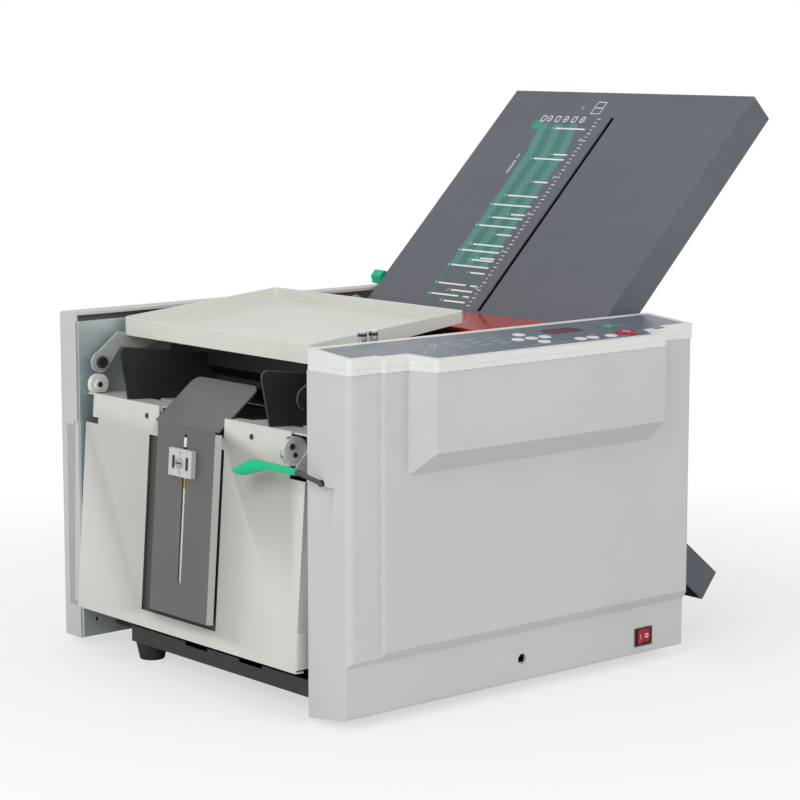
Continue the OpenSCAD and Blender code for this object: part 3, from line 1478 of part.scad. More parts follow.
// Outline round both pulleys at radius r + g
module belt_outline(g) {
  d = norm(motor_c - c2);
  base = line_angle(motor_c, c2);
  ra = motor_pulley_r + g;
  rb = pulley_r + g;
  k = acos((ra - rb) / d);
  polygon(concat(
    [for (i = [0:20]) let (t = base + k + (360 - 2 * k) * i / 20) motor_c + ra * [cos(t), sin(t)]],
    [for (i = [0:20]) let (t = base - k + 2 * k * i / 20) c2 + rb * [cos(t), sin(t)]]
  ));
}

module drive_belt() {
  color("black") placed() slab_y(-pulley_y0 - pulley_w / 2 - belt_w / 2, belt_w) difference() {
    belt_outline(seat_gap + belt_t);
    belt_outline(seat_gap);
  }
}

long_journal = pulley_y0 + pulley_w + 3;
short_journal = gear_y0 + gear_w + 2;

module fold_gear_2() {
  color("khaki") placed() {
    gear(c2, 0);
    pulley(c2, pulley_r, journal_d);
  }
}

// ---------- electrics ----------

module power_rocker() {
  color("red") placed() translate([switch_c[0], rocker_pin_y, switch_c[1]]) rotate([0, 0, rocker_rest]) {
    d = rocker_pin_y - front_band_y;
    translate([0, 0, -rocker_h / 2]) linear_extrude(rocker_h) polygon([
      [-rocker_w / 2, -d - 1.4], [0, -d + 0.3], [rocker_w / 2, -d - 1.4],
      [rocker_w / 2 - 1, -d + 4], [3, 2.5], [-3, 2.5], [-rocker_w / 2 + 1, -d + 4]
    ]);
    translate([0, 0, -rocker_h / 2 - 1.2]) cylinder(d = rocker_pin_d, h = rocker_h + 2.4);
  }
}

module switch_bezel() {
  w = switch_w - 2 * switch_rim;
  h = switch_h - 2 * switch_rim;
  color("black") placed() difference() {
    union() {
      block([switch_c[0] - switch_w / 2, front_band_y - 1.2, switch_c[1] - switch_h / 2],
            [switch_c[0] + switch_w / 2, front_band_y, switch_c[1] + switch_h / 2]);
      block([switch_c[0] - switch_w / 2 + 0.8, front_band_y, switch_c[1] - switch_h / 2 + 0.8],
            [switch_c[0] + switch_w / 2 - 0.8, front_band_y + 20, switch_c[1] + switch_h / 2 - 0.8]);
    }
    block([switch_c[0] - w / 2, front_band_y - 3, switch_c[1] - rocker_h / 2 - 0.3],
          [switch_c[0] + w / 2, front_band_y + 14, switch_c[1] + rocker_h / 2 + 0.3]);
    translate([switch_c[0], rocker_pin_y, switch_c[1] - rocker_h / 2 - 1.4])
      cylinder(d = rocker_pin_d + 0.1, h = rocker_h + 2.8);
  }
}

inlet_z = [foot_h + pan_rear_h, foot_h + pan_rear_h + 24];
inlet_depth = 11;       // of its socket
inlet_wall = 3;

module power_inlet() {
  x1 = frame_x1 + 2;
  y0 = inlet_y[0];
  y1 = inlet_y[1];
  color("black") placed() difference() {
    block([x1 - 26, y0, inlet_z[0]], [x1, y1, inlet_z[1]]);
    block([x1 - inlet_depth - 5, y0 + inlet_wall, inlet_z[0] + inlet_wall + 2],
          [x1 + 1, y1 - inlet_wall, inlet_z[1] - inlet_wall]);
  }
  // its three pins, short of the socket's mouth
  color("black") placed() for (p = [[-5, -1], [0, 4], [5, -1]])
    translate([x1 - inlet_depth - 5, (y0 + y1) / 2 + p[0] - 1, (inlet_z[0] + inlet_z[1]) / 2 + p[1] - 2])
    cube([8, 2, 4]);
}

// ---------- nodes ----------

module roller_node(c, y_near) {
  color("darkslategray") placed() fold_roller(c, y_near);
}

module gear_node(c) {
  color("khaki") placed() gear(c, mate_phase(c));
}

base_pan();
feet();
side_frame_front();
side_frame_rear();
cross_ties();
front_cover();
rear_cover();
control_bezel();
control_overlay();
display_board();
feed_table();
feed_end_panel();
clamp_block();
steel_brackets();
separation_pad();
paper_chutes();
roller_bearings();
main_motor();
feed_motor();
drive_belt();
power_inlet();
switch_bezel();
rear_panel();
frame_screws();
fold_plate_1();
fold_plate_2();
top_tray();
tray_arms();
red_guard();
fold_stop_1();
stop_knob_1();
fold_stop_2();
feed_roller();
motor_pulley();
roller_node(c1, short_journal);  // fold_roller_1
roller_node(c2, long_journal);  // fold_roller_2
roller_node(c3, short_journal);  // fold_roller_3
roller_node(c4, short_journal);  // fold_roller_4
gear_node(c1);  // fold_gear_1
fold_gear_2();
gear_node(c3);  // fold_gear_3
gear_node(c4);  // fold_gear_4
lift_plate();
side_guide_left();
side_guide_right();
support_tongue();
clamp_screw();
feed_lever();
lever_grip();
power_rocker();
start_button();
stop_button();
key_node(0);  // key_1
key_node(1);  // key_2
key_node(2);  // key_3
key_node(3);  // key_4
key_node(4);  // key_5
key_node(5);  // key_6
key_node(6);  // key_7
key_node(7);  // key_8
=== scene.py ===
import json
from math import acos, atan2, cos, pi, radians, sin, tan

import bmesh
import bpy
from mathutils import Matrix, Vector

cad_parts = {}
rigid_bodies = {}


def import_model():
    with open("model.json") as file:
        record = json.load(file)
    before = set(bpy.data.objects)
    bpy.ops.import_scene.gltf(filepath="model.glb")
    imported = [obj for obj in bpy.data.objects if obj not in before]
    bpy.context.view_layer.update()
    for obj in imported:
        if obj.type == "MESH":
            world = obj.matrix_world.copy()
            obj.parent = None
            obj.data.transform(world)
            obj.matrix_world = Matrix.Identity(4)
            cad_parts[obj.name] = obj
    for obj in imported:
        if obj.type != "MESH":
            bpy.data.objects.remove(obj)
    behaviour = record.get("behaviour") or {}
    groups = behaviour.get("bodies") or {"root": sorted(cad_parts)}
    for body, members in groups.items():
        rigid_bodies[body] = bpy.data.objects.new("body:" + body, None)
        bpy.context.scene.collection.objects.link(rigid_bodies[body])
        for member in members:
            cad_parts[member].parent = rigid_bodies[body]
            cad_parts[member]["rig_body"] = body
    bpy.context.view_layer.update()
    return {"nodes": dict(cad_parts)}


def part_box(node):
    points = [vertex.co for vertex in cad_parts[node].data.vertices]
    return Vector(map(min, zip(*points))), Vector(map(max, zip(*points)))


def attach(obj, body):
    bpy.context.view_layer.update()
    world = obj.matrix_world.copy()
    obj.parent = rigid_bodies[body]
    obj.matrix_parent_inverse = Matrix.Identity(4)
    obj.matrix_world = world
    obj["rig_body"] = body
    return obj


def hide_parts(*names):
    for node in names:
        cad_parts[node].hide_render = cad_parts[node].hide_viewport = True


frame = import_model()
NODES = frame["nodes"]

# ---------- places ----------
# Sizes below are in the machine's own millimetres: X from the feed end, Y away from the operator, Z up.

MM = 0.001
REAR_FACE_Y = 202.4             # rear cover's outer face
rear_low, rear_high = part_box("rear_cover")
ORIGIN = Vector((rear_low.x, rear_high.y - REAR_FACE_Y * MM, 0))


def at(x, y, z):
    """Point of the row frame, in metres, from the machine's own millimetres."""
    return ORIGIN + Vector((x, y, z)) * MM


def local(point, x_axis, y_axis):
    """Matrix of a local frame in millimetres, at a point of the row frame."""
    x_axis = Vector(x_axis).normalized()
    z_axis = x_axis.cross(Vector(y_axis)).normalized()
    y_axis = z_axis.cross(x_axis)
    turn = Matrix((x_axis, y_axis, z_axis)).transposed().to_4x4()
    return Matrix.Translation(point) @ turn @ Matrix.Scale(MM, 4)


# Upper fold plate: X up the plate from its top edge, so marks lie at negative X. Z out of its face
PLATE_RISE = radians(45)
PLATE_EDGE = at(556, 0, 514)
PLATE = local(PLATE_EDGE, (cos(PLATE_RISE), 0, sin(PLATE_RISE)), (0, 1, 0))

# Keypad: its height rises away from the operator
KEYPAD_TILT = radians(5)
KEYPAD_EDGE_Y = -226.65
KEYPAD_EDGE_Z = 312.3


def keypad_z(y):
    return KEYPAD_EDGE_Z + tan(KEYPAD_TILT) * (y - KEYPAD_EDGE_Y)


def on_keypad(x, y):
    return local(at(x, y, keypad_z(y)), (1, 0, 0), (0, cos(KEYPAD_TILT), sin(KEYPAD_TILT)))


# Feed end panel: X into the machine, Z up its face
PANEL_LEAN = radians(4.2)
PANEL = local(at(-7.8, 0, 42), (cos(PANEL_LEAN), 0, -sin(PANEL_LEAN)), (0, 1, 0))

# ---------- materials ----------


def rgb(red, green, blue):
    """Linear colour of an sRGB one that is given from 0 to 255."""
    parts = [c / 255 for c in (red, green, blue)]
    return tuple(c / 12.92 if c <= 0.04045 else ((c + 0.055) / 1.055) ** 2.4 for c in parts) + (1.0,)


def scaled(colour, share):
    return tuple(min(c * share, 1.0) for c in colour[:3]) + (1.0,)


class Graph:
    """A material's nodes, with one short call for each kind."""

    def __init__(self, name):
        self.material = bpy.data.materials.new(name)
        self.material.use_nodes = True
        self.nodes = self.material.node_tree.nodes
        self.nodes.clear()
        self.shader = self.add("ShaderNodeBsdfPrincipled")
        output = self.add("ShaderNodeOutputMaterial")
        self.join(self.shader.outputs["BSDF"], output.inputs["Surface"])
        self.place = self.add("ShaderNodeTexCoord").outputs["Object"]

    def add(self, kind, **settings):
        node = self.nodes.new(kind)
        for name, value in settings.items():
            setattr(node, name, value)
        return node

    def join(self, source, target):
        self.material.node_tree.links.new(source, target)

    def feed(self, socket, value):
        if isinstance(value, bpy.types.NodeSocket):
            self.join(value, socket)
        else:
            socket.default_value = value

    def noise(self, scale, detail=3.0, roughness=0.55, stretch=(1, 1, 1)):
        mapping = self.add("ShaderNodeMapping")
        mapping.inputs["Scale"].default_value = stretch
        self.join(self.place, mapping.inputs["Vector"])
        texture = self.add("ShaderNodeTexNoise")
        texture.inputs["Scale"].default_value = scale
        texture.inputs["Detail"].default_value = detail
        texture.inputs["Roughness"].default_value = roughness
        self.join(mapping.outputs["Vector"], texture.inputs["Vector"])
        return texture.outputs[0]

    def cells(self, scale):
        texture = self.add("ShaderNodeTexVoronoi", feature="SMOOTH_F1")
        texture.inputs["Scale"].default_value = scale
        self.join(self.place, texture.inputs["Vector"])
        return texture.outputs["Distance"]

    def remap(self, value, low, high, to_low=0.0, to_high=1.0):
        node = self.add("ShaderNodeMapRange", clamp=True)
        for socket, number in zip(("From Min", "From Max", "To Min", "To Max"), (low, high, to_low, to_high)):
            node.inputs[socket].default_value = number
        self.join(value, node.inputs["Value"])
        return node.outputs["Result"]

    def times(self, first, second):
        node = self.add("ShaderNodeMath", operation="MULTIPLY")
        self.feed(node.inputs[0], first)
        self.feed(node.inputs[1], second)
        return node.outputs[0]

    def mix(self, share, first, second):
        node = self.add("ShaderNodeMix", data_type="RGBA")
        self.feed(node.inputs[0], share)
        self.feed(node.inputs[6], first)
        self.feed(node.inputs[7], second)
        return node.outputs[2]

    def bump(self, height, distance, before=None):
        node = self.add("ShaderNodeBump")
        node.inputs["Strength"].default_value = 1.0
        node.inputs["Distance"].default_value = distance
        self.join(height, node.inputs["Height"])
        if before is not None:
            self.join(before, node.inputs["Normal"])
        return node.outputs["Normal"]


def finish(name, colour, second=None, patch=7.0, rough=(0.4, 0.5), grain=1400.0, grain_mm=0.02, pebbled=False,
           stretch=(1, 1, 1), fleck=None, wear=None, metallic=0.0, **sockets):
    """One real surface: slow colour patches, fine flecks, worn edges, uneven gloss and a grain in relief."""
    graph = Graph(name)
    shader = graph.shader
    slow = graph.remap(graph.noise(patch, 4.0, 0.6, stretch), 0.35, 0.65)
    result = graph.mix(slow, colour, second or scaled(colour, 0.94))
    if fleck:
        dots = graph.remap(graph.noise(grain * 0.45, 2.0), 0.66, 0.74)
        result = graph.mix(graph.times(dots, 0.5), result, fleck)
    if wear:
        edge = graph.add("ShaderNodeAttribute", attribute_name="edge")
        rubbed = graph.remap(graph.noise(160.0, 3.0), 0.38, 0.62, 0.15, 0.85)
        result = graph.mix(graph.times(edge.outputs["Fac"], rubbed), result, wear)
    graph.join(result, shader.inputs["Base Color"])
    gloss = graph.noise(patch * 5, 4.0, 0.65, stretch)
    graph.join(graph.remap(gloss, 0.3, 0.7, *rough), shader.inputs["Roughness"])
    height = graph.cells(grain) if pebbled else graph.noise(grain, 2.0, 0.5, stretch)
    broad = graph.bump(graph.noise(24.0, 2.0), grain_mm * 6 * MM)
    graph.join(graph.bump(height, grain_mm * MM, broad), shader.inputs["Normal"])
    shader.inputs["Metallic"].default_value = metallic
    for socket, value in sockets.items():
        shader.inputs[socket.replace("_", " ").title().replace("Ior", "IOR")].default_value = value
    return graph.material


def zinc():
    """Blue-passivated zinc: cloudy tints with a fine rolled grain."""
    graph = Graph("zinc_plate")
    clouds = graph.remap(graph.noise(9.0, 5.0, 0.6), 0.35, 0.65)
    tint = graph.mix(clouds, rgb(156, 175, 182), rgb(182, 195, 197))
    haze = graph.remap(graph.noise(31.0, 3.0), 0.45, 0.7)
    tint = graph.mix(graph.times(haze, 0.5), tint, rgb(168, 175, 168))
    graph.join(tint, graph.shader.inputs["Base Color"])
    rolled = graph.noise(700.0, 3.0, 0.6, (0.05, 1, 1))
    graph.join(graph.remap(rolled, 0.3, 0.7, 0.3, 0.48), graph.shader.inputs["Roughness"])
    graph.join(graph.bump(rolled, 0.006 * MM), graph.shader.inputs["Normal"])
    graph.shader.inputs["Metallic"].default_value = 0.4
    return graph.material


def metal(name, colour, rough, stretch=(1, 1, 1), grain_mm=0.006, metallic=1.0, scale=900.0):
    """Bare metal with drawn or ground lines along the axis whose stretch is small."""
    graph = Graph(name)
    slow = graph.remap(graph.noise(11.0, 4.0), 0.3, 0.7)
    graph.join(graph.mix(slow, colour, scaled(colour, 0.88)), graph.shader.inputs["Base Color"])
    lines = graph.noise(scale, 3.0, 0.6, stretch)
    graph.join(graph.remap(lines, 0.25, 0.75, *rough), graph.shader.inputs["Roughness"])
    graph.join(graph.bump(lines, grain_mm * MM), graph.shader.inputs["Normal"])
    graph.shader.inputs["Metallic"].default_value = metallic
    return graph.material


MATERIALS = {
    "cover_plastic": finish("cover_plastic", rgb(200, 200, 198), rgb(195, 195, 193), rough=(0.42, 0.54),
                            wear=rgb(208, 208, 207), fleck=rgb(189, 189, 188)),
    "bezel_plastic": finish("bezel_plastic", rgb(226, 226, 223), rgb(221, 221, 218), rough=(0.34, 0.44),
                            grain=1800.0, grain_mm=0.012, wear=rgb(233, 233, 231)),
    "panel_beige": finish("panel_beige", rgb(211, 211, 205), rgb(206, 206, 200), rough=(0.36, 0.46),
                          grain=620.0, grain_mm=0.03, pebbled=True, wear=rgb(222, 222, 216),
                          fleck=rgb(206, 206, 198)),
    "tray_beige": finish("tray_beige", rgb(219, 219, 212), rgb(213, 213, 206), rough=(0.33, 0.43),
                         grain=620.0, grain_mm=0.03, pebbled=True, wear=rgb(226, 226, 220),
                         fleck=rgb(208, 208, 201)),
    "slate_metal": finish("slate_metal", rgb(98, 103, 111), rgb(93, 98, 105), rough=(0.42, 0.52), grain=640.0,
                          grain_mm=0.03, pebbled=True, wear=rgb(114, 118, 124), fleck=rgb(86, 91, 97),
                          specular_ior_level=0.25),
    "film": finish("film", rgb(104, 112, 122), rgb(98, 106, 116), rough=(0.26, 0.34), grain=2200.0,
                   grain_mm=0.003, wear=rgb(140, 148, 156), specular_ior_level=0.2),
    "zinc_plate": zinc(),
    "black_steel": finish("black_steel", rgb(43, 44, 46), rgb(36, 37, 39), rough=(0.38, 0.52), grain=700.0,
                          grain_mm=0.03, pebbled=True, wear=rgb(62, 63, 65), fleck=rgb(42, 43, 45)),
    "bright_steel": metal("bright_steel", rgb(205, 207, 209), (0.12, 0.26)),
    "tongue_steel": metal("tongue_steel", rgb(112, 112, 109), (0.4, 0.55), (1, 0.04, 1), 0.01, 0.5),
    "rubber": finish("rubber", rgb(38, 38, 39), rgb(30, 30, 31), rough=(0.7, 0.85), grain=900.0,
                     grain_mm=0.05, wear=rgb(60, 60, 60)),
    "roller_rubber": finish("roller_rubber", rgb(92, 92, 90), rgb(80, 80, 79), rough=(0.66, 0.8),
                            grain=1300.0, grain_mm=0.05, stretch=(1, 0.1, 1), fleck=rgb(118, 118, 114),
                            wear=rgb(104, 104, 102)),
    "white_plastic": finish("white_plastic", rgb(232, 232, 228), rgb(226, 226, 221), rough=(0.36, 0.48),
                            grain_mm=0.012, wear=rgb(240, 240, 238)),
    "gear_plastic": finish("gear_plastic", rgb(222, 216, 196), rgb(214, 207, 186), rough=(0.4, 0.52),
                           grain_mm=0.012, wear=rgb(230, 226, 212)),
    "green_plastic": finish("green_plastic", rgb(14, 194, 137), rgb(12, 184, 128), rough=(0.28, 0.4),
                            grain_mm=0.01, wear=rgb(48, 196, 146), fleck=rgb(12, 160, 108),
                            specular_ior_level=0.25),
    "red_key": finish("red_key", rgb(176, 34, 50), rgb(168, 30, 45), rough=(0.26, 0.36), grain_mm=0.008,
                      wear=rgb(222, 122, 132), specular_ior_level=0.22),
    "red_clear": finish("red_clear", rgb(232, 70, 42), rgb(224, 64, 38), rough=(0.08, 0.16), grain=300.0,
                        grain_mm=0.002, transmission_weight=0.22, specular_ior_level=0.2, ior=1.49),
    "display_red": finish("display_red", rgb(104, 30, 38), rgb(94, 26, 33), rough=(0.2, 0.28), grain_mm=0.002,
                          specular_ior_level=0.25),
    "key_white": finish("key_white", rgb(236, 237, 240), rgb(230, 231, 235), rough=(0.3, 0.4),
                        grain_mm=0.006),
    "motor_grey": finish("motor_grey", rgb(112, 114, 116), rgb(100, 102, 104), rough=(0.42, 0.56),
                         pebbled=True, grain=700.0, grain_mm=0.03, wear=rgb(140, 141, 142)),
    "black_plastic": finish("black_plastic", rgb(30, 30, 31), rgb(24, 24, 25), rough=(0.36, 0.5),
                            grain_mm=0.02, wear=rgb(54, 54, 55)),
    "pad_rubber": finish("pad_rubber", rgb(50, 44, 41), rgb(43, 38, 35), rough=(0.7, 0.84), grain=700.0,
                         grain_mm=0.06, fleck=rgb(66, 58, 52)),
}
# Print, paint and bare metal on parts of a piece, with painted shade and painted highlight among them
PRINT = {
    "white": finish("print_white", rgb(238, 240, 240), rough=(0.4, 0.5), grain_mm=0.004),
    "dark_green": finish("print_dark_green", rgb(46, 112, 102), rough=(0.36, 0.46), grain_mm=0.01),
    "light_green": finish("print_light_green", rgb(66, 134, 124), rough=(0.36, 0.46), grain_mm=0.01),
    "strong_green": finish("print_strong_green", rgb(26, 146, 118), rough=(0.36, 0.46), grain_mm=0.01),
    "grey": finish("print_grey", rgb(176, 182, 184), rough=(0.4, 0.5), grain_mm=0.004),
    "faint": finish("print_faint", rgb(176, 184, 190), rough=(0.3, 0.4), grain_mm=0.003),
    "black": finish("print_black", rgb(30, 30, 31), rough=(0.4, 0.5), grain_mm=0.004),
    "brass": metal("brass", rgb(196, 160, 84), (0.22, 0.36)),
    # painted highlight: a lighter grey for the support tongue's slanted side folds
    "fold_highlight": finish("fold_highlight", rgb(166, 166, 162), rough=(0.4, 0.5), metallic=0.2),
    # shade: painted shade, a dark grey for the recess round the support tongue
    "shade": finish("shade", rgb(72, 70, 66), rough=(0.5, 0.6), grain_mm=0.01),
    "dark_rod": metal("dark_rod", rgb(96, 98, 100), (0.12, 0.2)),
    # band: painted shade, a darker grey for the shallow band in the rear cover's feed end face
    "band": finish("band", rgb(172, 172, 171), rough=(0.45, 0.55), grain_mm=0.02),
    "cast_zinc": finish("cast_zinc", rgb(214, 215, 212), rgb(176, 178, 176), patch=60.0, rough=(0.34, 0.5),
                        grain=500.0, grain_mm=0.05, metallic=0.1, fleck=rgb(226, 227, 225),
                        wear=rgb(230, 230, 228)),
    "arm_grey": finish("arm_grey", rgb(180, 181, 177), rgb(172, 174, 170), rough=(0.4, 0.5), metallic=0.1,
                       wear=rgb(206, 207, 204), fleck=rgb(162, 164, 160)),
    "block_grey": finish("block_grey", rgb(198, 199, 198), rgb(192, 193, 192), rough=(0.4, 0.5),
                         wear=rgb(214, 215, 214)),
    "start_green": finish("start_green", rgb(46, 138, 118), rgb(42, 131, 111), rough=(0.26, 0.36),
                          grain_mm=0.008, wear=rgb(110, 170, 156), specular_ior_level=0.25),
}

# ---------- mesh tools ----------


def arc_corner(before, corner, after, steps):
    """Points that round one corner (x, y, radius) of an outline."""
    radius = corner[2]
    point = Vector(corner[:2])
    if radius == 0:
        return [point]
    to_before = (Vector(before[:2]) - point).normalized()
    to_after = (Vector(after[:2]) - point).normalized()
    half = acos(max(-1, min(1, to_before.dot(to_after)))) / 2
    centre = point + (to_before + to_after).normalized() * radius / sin(half)
    first = point + to_before * radius / tan(half) - centre
    last = point + to_after * radius / tan(half) - centre
    start = atan2(first.y, first.x)
    sweep = atan2(last.y, last.x) - start
    sweep -= 2 * pi * round(sweep / (2 * pi))
    return [centre + radius * Vector((cos(start + sweep * i / steps), sin(start + sweep * i / steps)))
            for i in range(steps + 1)]


def rounded(corners, steps=5):
    """Closed outline with round corners."""
    count = len(corners)
    return [point for i in range(count)
            for point in arc_corner(corners[i - 1], corners[i], corners[(i + 1) % count], steps)]


def rectangle(width, height, radius=0.0, x=0.0, y=0.0):
    half_w, half_h = width / 2, height / 2
    return rounded([(x - half_w, y - half_h, radius), (x + half_w, y - half_h, radius),
                    (x + half_w, y + half_h, radius), (x - half_w, y + half_h, radius)])


def ellipse(width, height, x=0.0, y=0.0, steps=36, power=2.0):
    """Outline of an ellipse, or of a fuller one when power is over 2."""
    points = []
    for i in range(steps):
        turn = 2 * pi * i / steps
        reach = (abs(cos(turn)) ** power + abs(sin(turn)) ** power) ** (-1 / power)
        points.append(Vector((x + width / 2 * reach * cos(turn), y + height / 2 * reach * sin(turn))))
    return points


def stroke(points, width):
    """Outline of an open line of that width, in the plane."""
    points = [Vector(p) for p in points]
    sides = []
    for i, point in enumerate(points):
        ahead = (points[min(i + 1, len(points) - 1)] - points[max(i - 1, 0)]).normalized()
        sides.append((point, Vector((-ahead.y, ahead.x)) * width / 2))
    return [p + n for p, n in sides] + [p - n for p, n in reversed(sides)]


def add_rings(mesh, rings, loop=False):
    """Bridges rings of as many points each with faces, and closes the two ends or joins them."""
    rows = [[mesh.verts.new(point) for point in ring] for ring in rings]
    pairs = list(zip(rows, rows[1:])) + ([(rows[-1], rows[0])] if loop else [])
    for low, high in pairs:
        for i in range(len(low)):
            mesh.faces.new((low[i - 1], low[i], high[i], high[i - 1]))
    if not loop:
        mesh.faces.new(list(reversed(rows[0])))
        mesh.faces.new(rows[-1])


def lift(outline, height):
    return [Vector((p[0], p[1], height)) for p in outline]


def add_prism(mesh, place, outline, low, high):
    """Solid of an outline between two heights of a local frame."""
    add_rings(mesh, [[place @ p for p in lift(outline, z)] for z in (low, high)])


def add_turned(mesh, place, profile, steps=32):
    """Solid turned about a local frame's Z from (radius, height) points."""
    turns = [2 * pi * i / steps for i in range(steps)]
    rings = [[place @ Vector((r * cos(turn), r * sin(turn), z)) for turn in turns] for r, z in profile]
    add_rings(mesh, rings)


def shrink(outline, share_x, share_y=None):
    """The outline scaled about its middle."""
    middle = sum((Vector(p[:2]) for p in outline), Vector((0, 0))) / len(outline)
    share_y = share_x if share_y is None else share_y
    return [Vector((middle.x + (p[0] - middle.x) * share_x, middle.y + (p[1] - middle.y) * share_y))
            for p in outline]


def sharp_edges(mesh, angle):
    return [e for e in mesh.edges if len(e.link_faces) == 2 and e.calc_face_angle(0) > radians(angle)]


def round_edges(mesh, edges, width, segments):
    """Rounds edges and marks the new faces, where the surface wears."""
    layer = mesh.faces.layers.float.get("edge") or mesh.faces.layers.float.new("edge")
    result = bmesh.ops.bevel(mesh, geom=edges, offset=width * MM, offset_type="OFFSET", segments=segments,
                             profile=0.5, affect="EDGES", clamp_overlap=True, loop_slide=True)
    for face in result["faces"]:
        face[layer] = 1.0


def tidy(mesh):
    bmesh.ops.remove_doubles(mesh, verts=mesh.verts, dist=0.001 * MM)
    bmesh.ops.dissolve_limit(mesh, angle_limit=radians(0.5), verts=mesh.verts, edges=mesh.edges)


def boolean(solid, tool, mode):
    """The closed mesh that comes of uniting, cutting or crossing two closed meshes."""
    objects = []
    for part in (solid, tool):
        bmesh.ops.recalc_face_normals(part, faces=part.faces)
        data = bpy.data.meshes.new("work")
        part.to_mesh(data)
        part.free()
        objects.append(bpy.data.objects.new("work", data))
        bpy.context.scene.collection.objects.link(objects[-1])
    modifier = objects[0].modifiers.new("work", "BOOLEAN")
    modifier.operation = mode
    modifier.solver = "EXACT"
    modifier.object = objects[1]
    made = bpy.data.meshes.new_from_object(objects[0].evaluated_get(bpy.context.evaluated_depsgraph_get()))
    result = bmesh.new()
    result.from_mesh(made)
    for part in objects:
        data = part.data
        bpy.data.objects.remove(part)
        bpy.data.meshes.remove(data)
    bpy.data.meshes.remove(made)
    return result


def show(name, mesh, body, slot, material=None, angle=40, node=None):
    """Turns a mesh into a piece of the object that rides on a body."""
    bmesh.ops.recalc_face_normals(mesh, faces=mesh.faces)
    data = bpy.data.meshes.new(name)
    mesh.to_mesh(data)
    mesh.free()
    piece = bpy.data.objects.new(name, data)
    bpy.context.scene.collection.objects.link(piece)
    data.materials.append(material or MATERIALS[slot])
    data.shade_smooth()
    data.set_sharp_from_angle(angle=radians(angle))
    piece.modifiers.new("even_shade", "WEIGHTED_NORMAL").keep_sharp = True
    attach(piece, body)
    if node:
        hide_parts(node)
    return piece


EDGE_ANGLE = 28                 # edges that turn more than this, in degrees, are rounded
FOLD_WIDTH = 1.1                # rounding of a sheet's folds, in millimetres


def soften(node, width, segments=2, folds=None, change=None):
    """Copy of a CAD node with its edges rounded as on the real piece, which stands for the node."""
    source = NODES[node]
    mesh = bmesh.new()
    mesh.from_mesh(source.data)
    tidy(mesh)
    if change:
        mesh = change(mesh)
        tidy(mesh)
    if folds:
        round_edges(mesh, [e for e in sharp_edges(mesh, EDGE_ANGLE) if folds(e)], FOLD_WIDTH, 3)
    round_edges(mesh, sharp_edges(mesh, EDGE_ANGLE), width, segments)
    slot = source.data.materials[0].name.split(".")[0]
    return show(node + "_finish", mesh, source["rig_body"], slot, node=node)


def paint(piece, chosen, material):
    """Gives the faces of a piece whose middle passes a test another material."""
    piece.data.materials.append(material)
    for polygon in piece.data.polygons:
        if chosen(polygon.center):
            polygon.material_index = len(piece.data.materials) - 1


def longer_than(edge, length):
    return edge.calc_length() > length * MM


# ---------- places on the machine ----------

# A frame that lies on the feed end panel: X to the operator, Y up, Z out of the panel
PANEL_FACE = PANEL @ Matrix(((0, 0, -1, 0), (-1, 0, 0, 0), (0, 1, 0, 0), (0, 0, 0, 1)))
TONGUE_OUT = 4.5                # tongue's face in front of the panel's
BLOCK_OUT = 9.8                 # clamp block's face in front of the panel's
BLOCK_S = 156.5                 # clamp block's middle, up the panel
FAR_PIVOT = (17, 152.2, 271)
FAR_DISC = (15.5, 155.6, 250)
NEAR_DISC = (4.5, -152, 227.5)
SWITCH = (353, -216.3, 26)      # rocker's pin
KEYPAD = on_keypad(0, KEYPAD_EDGE_Y)


def operator_face(x, y, z):
    """Frame whose Z points to the operator."""
    return local(at(x, y, z), (1, 0, 0), (0, 0, 1))


def anywhere(place):
    return True


def inside(low, high):
    """Test for a point of the row frame that lies in a box given in the machine's millimetres."""
    def test(point):
        place = (point - ORIGIN) / MM
        return all(a <= b <= c for a, b, c in zip(low, place, high))
    return test


def on_panel(low, high):
    """The same for a box in the feed end panel's own frame."""
    back = PANEL.inverted()

    def test(point):
        return all(a <= b <= c for a, b, c in zip(low, back @ point, high))
    return test


def key_outline(points):
    """Plan points (x, y) of the machine, laid on the slanting keypad."""
    return [Vector((p[0], (p[1] - KEYPAD_EDGE_Y) / cos(KEYPAD_TILT))) for p in points]


def add_frame(mesh, place, outer, inner, low, high):
    """Flat ring between two outlines of as many points."""
    rings = [lift(outer, low), lift(outer, high), lift(inner, high), lift(inner, low)]
    add_rings(mesh, [[place @ p for p in ring] for ring in rings], loop=True)


def add_text(mesh, place, text, size, low, high):
    """Solid figures of Blender's own font, centred on a local frame's origin."""
    curve = bpy.data.curves.new("figures", "FONT")
    curve.body = text
    curve.size = size
    curve.align_x = "CENTER"
    curve.align_y = "CENTER"
    curve.resolution_u = 3
    curve.extrude = (high - low) / 2
    holder = bpy.data.objects.new("figures", curve)
    bpy.context.scene.collection.objects.link(holder)
    made = bpy.data.meshes.new_from_object(holder.evaluated_get(bpy.context.evaluated_depsgraph_get()))
    part = bmesh.new()
    part.from_mesh(made)
    bmesh.ops.remove_doubles(part, verts=part.verts, dist=0.002)
    bmesh.ops.transform(part, matrix=place @ Matrix.Translation((0, 0, (low + high) / 2)), verts=part.verts)
    part.to_mesh(made)
    part.free()
    mesh.from_mesh(made)
    bpy.data.objects.remove(holder)
    bpy.data.curves.remove(curve)
    bpy.data.meshes.remove(made)


def crossing(outline, along):
    """Lowest and highest Y of a closed outline where its X is at a value."""
    hits = []
    for first, second in zip(outline, outline[1:] + outline[:1]):
        if first.x != second.x and (first.x - along) * (second.x - along) <= 0:
            hits.append(first.y + (along - first.x) / (second.x - first.x) * (second.y - first.y))
    return min(hits), max(hits)


# ---------- covers and frame ----------

BAND_Y = (169, 190.5)           # shallow band in the rear cover's feed end face
BAND_Z = (38, 211)
BAND_DEPTH = 0.7
LEDGE_Z = 302.6                 # lowest height of the ledge line round the moulding
LEDGE_STEPS = (0, 0.35, 0.75, 1.1)
LEDGE_DEPTH = 0.45


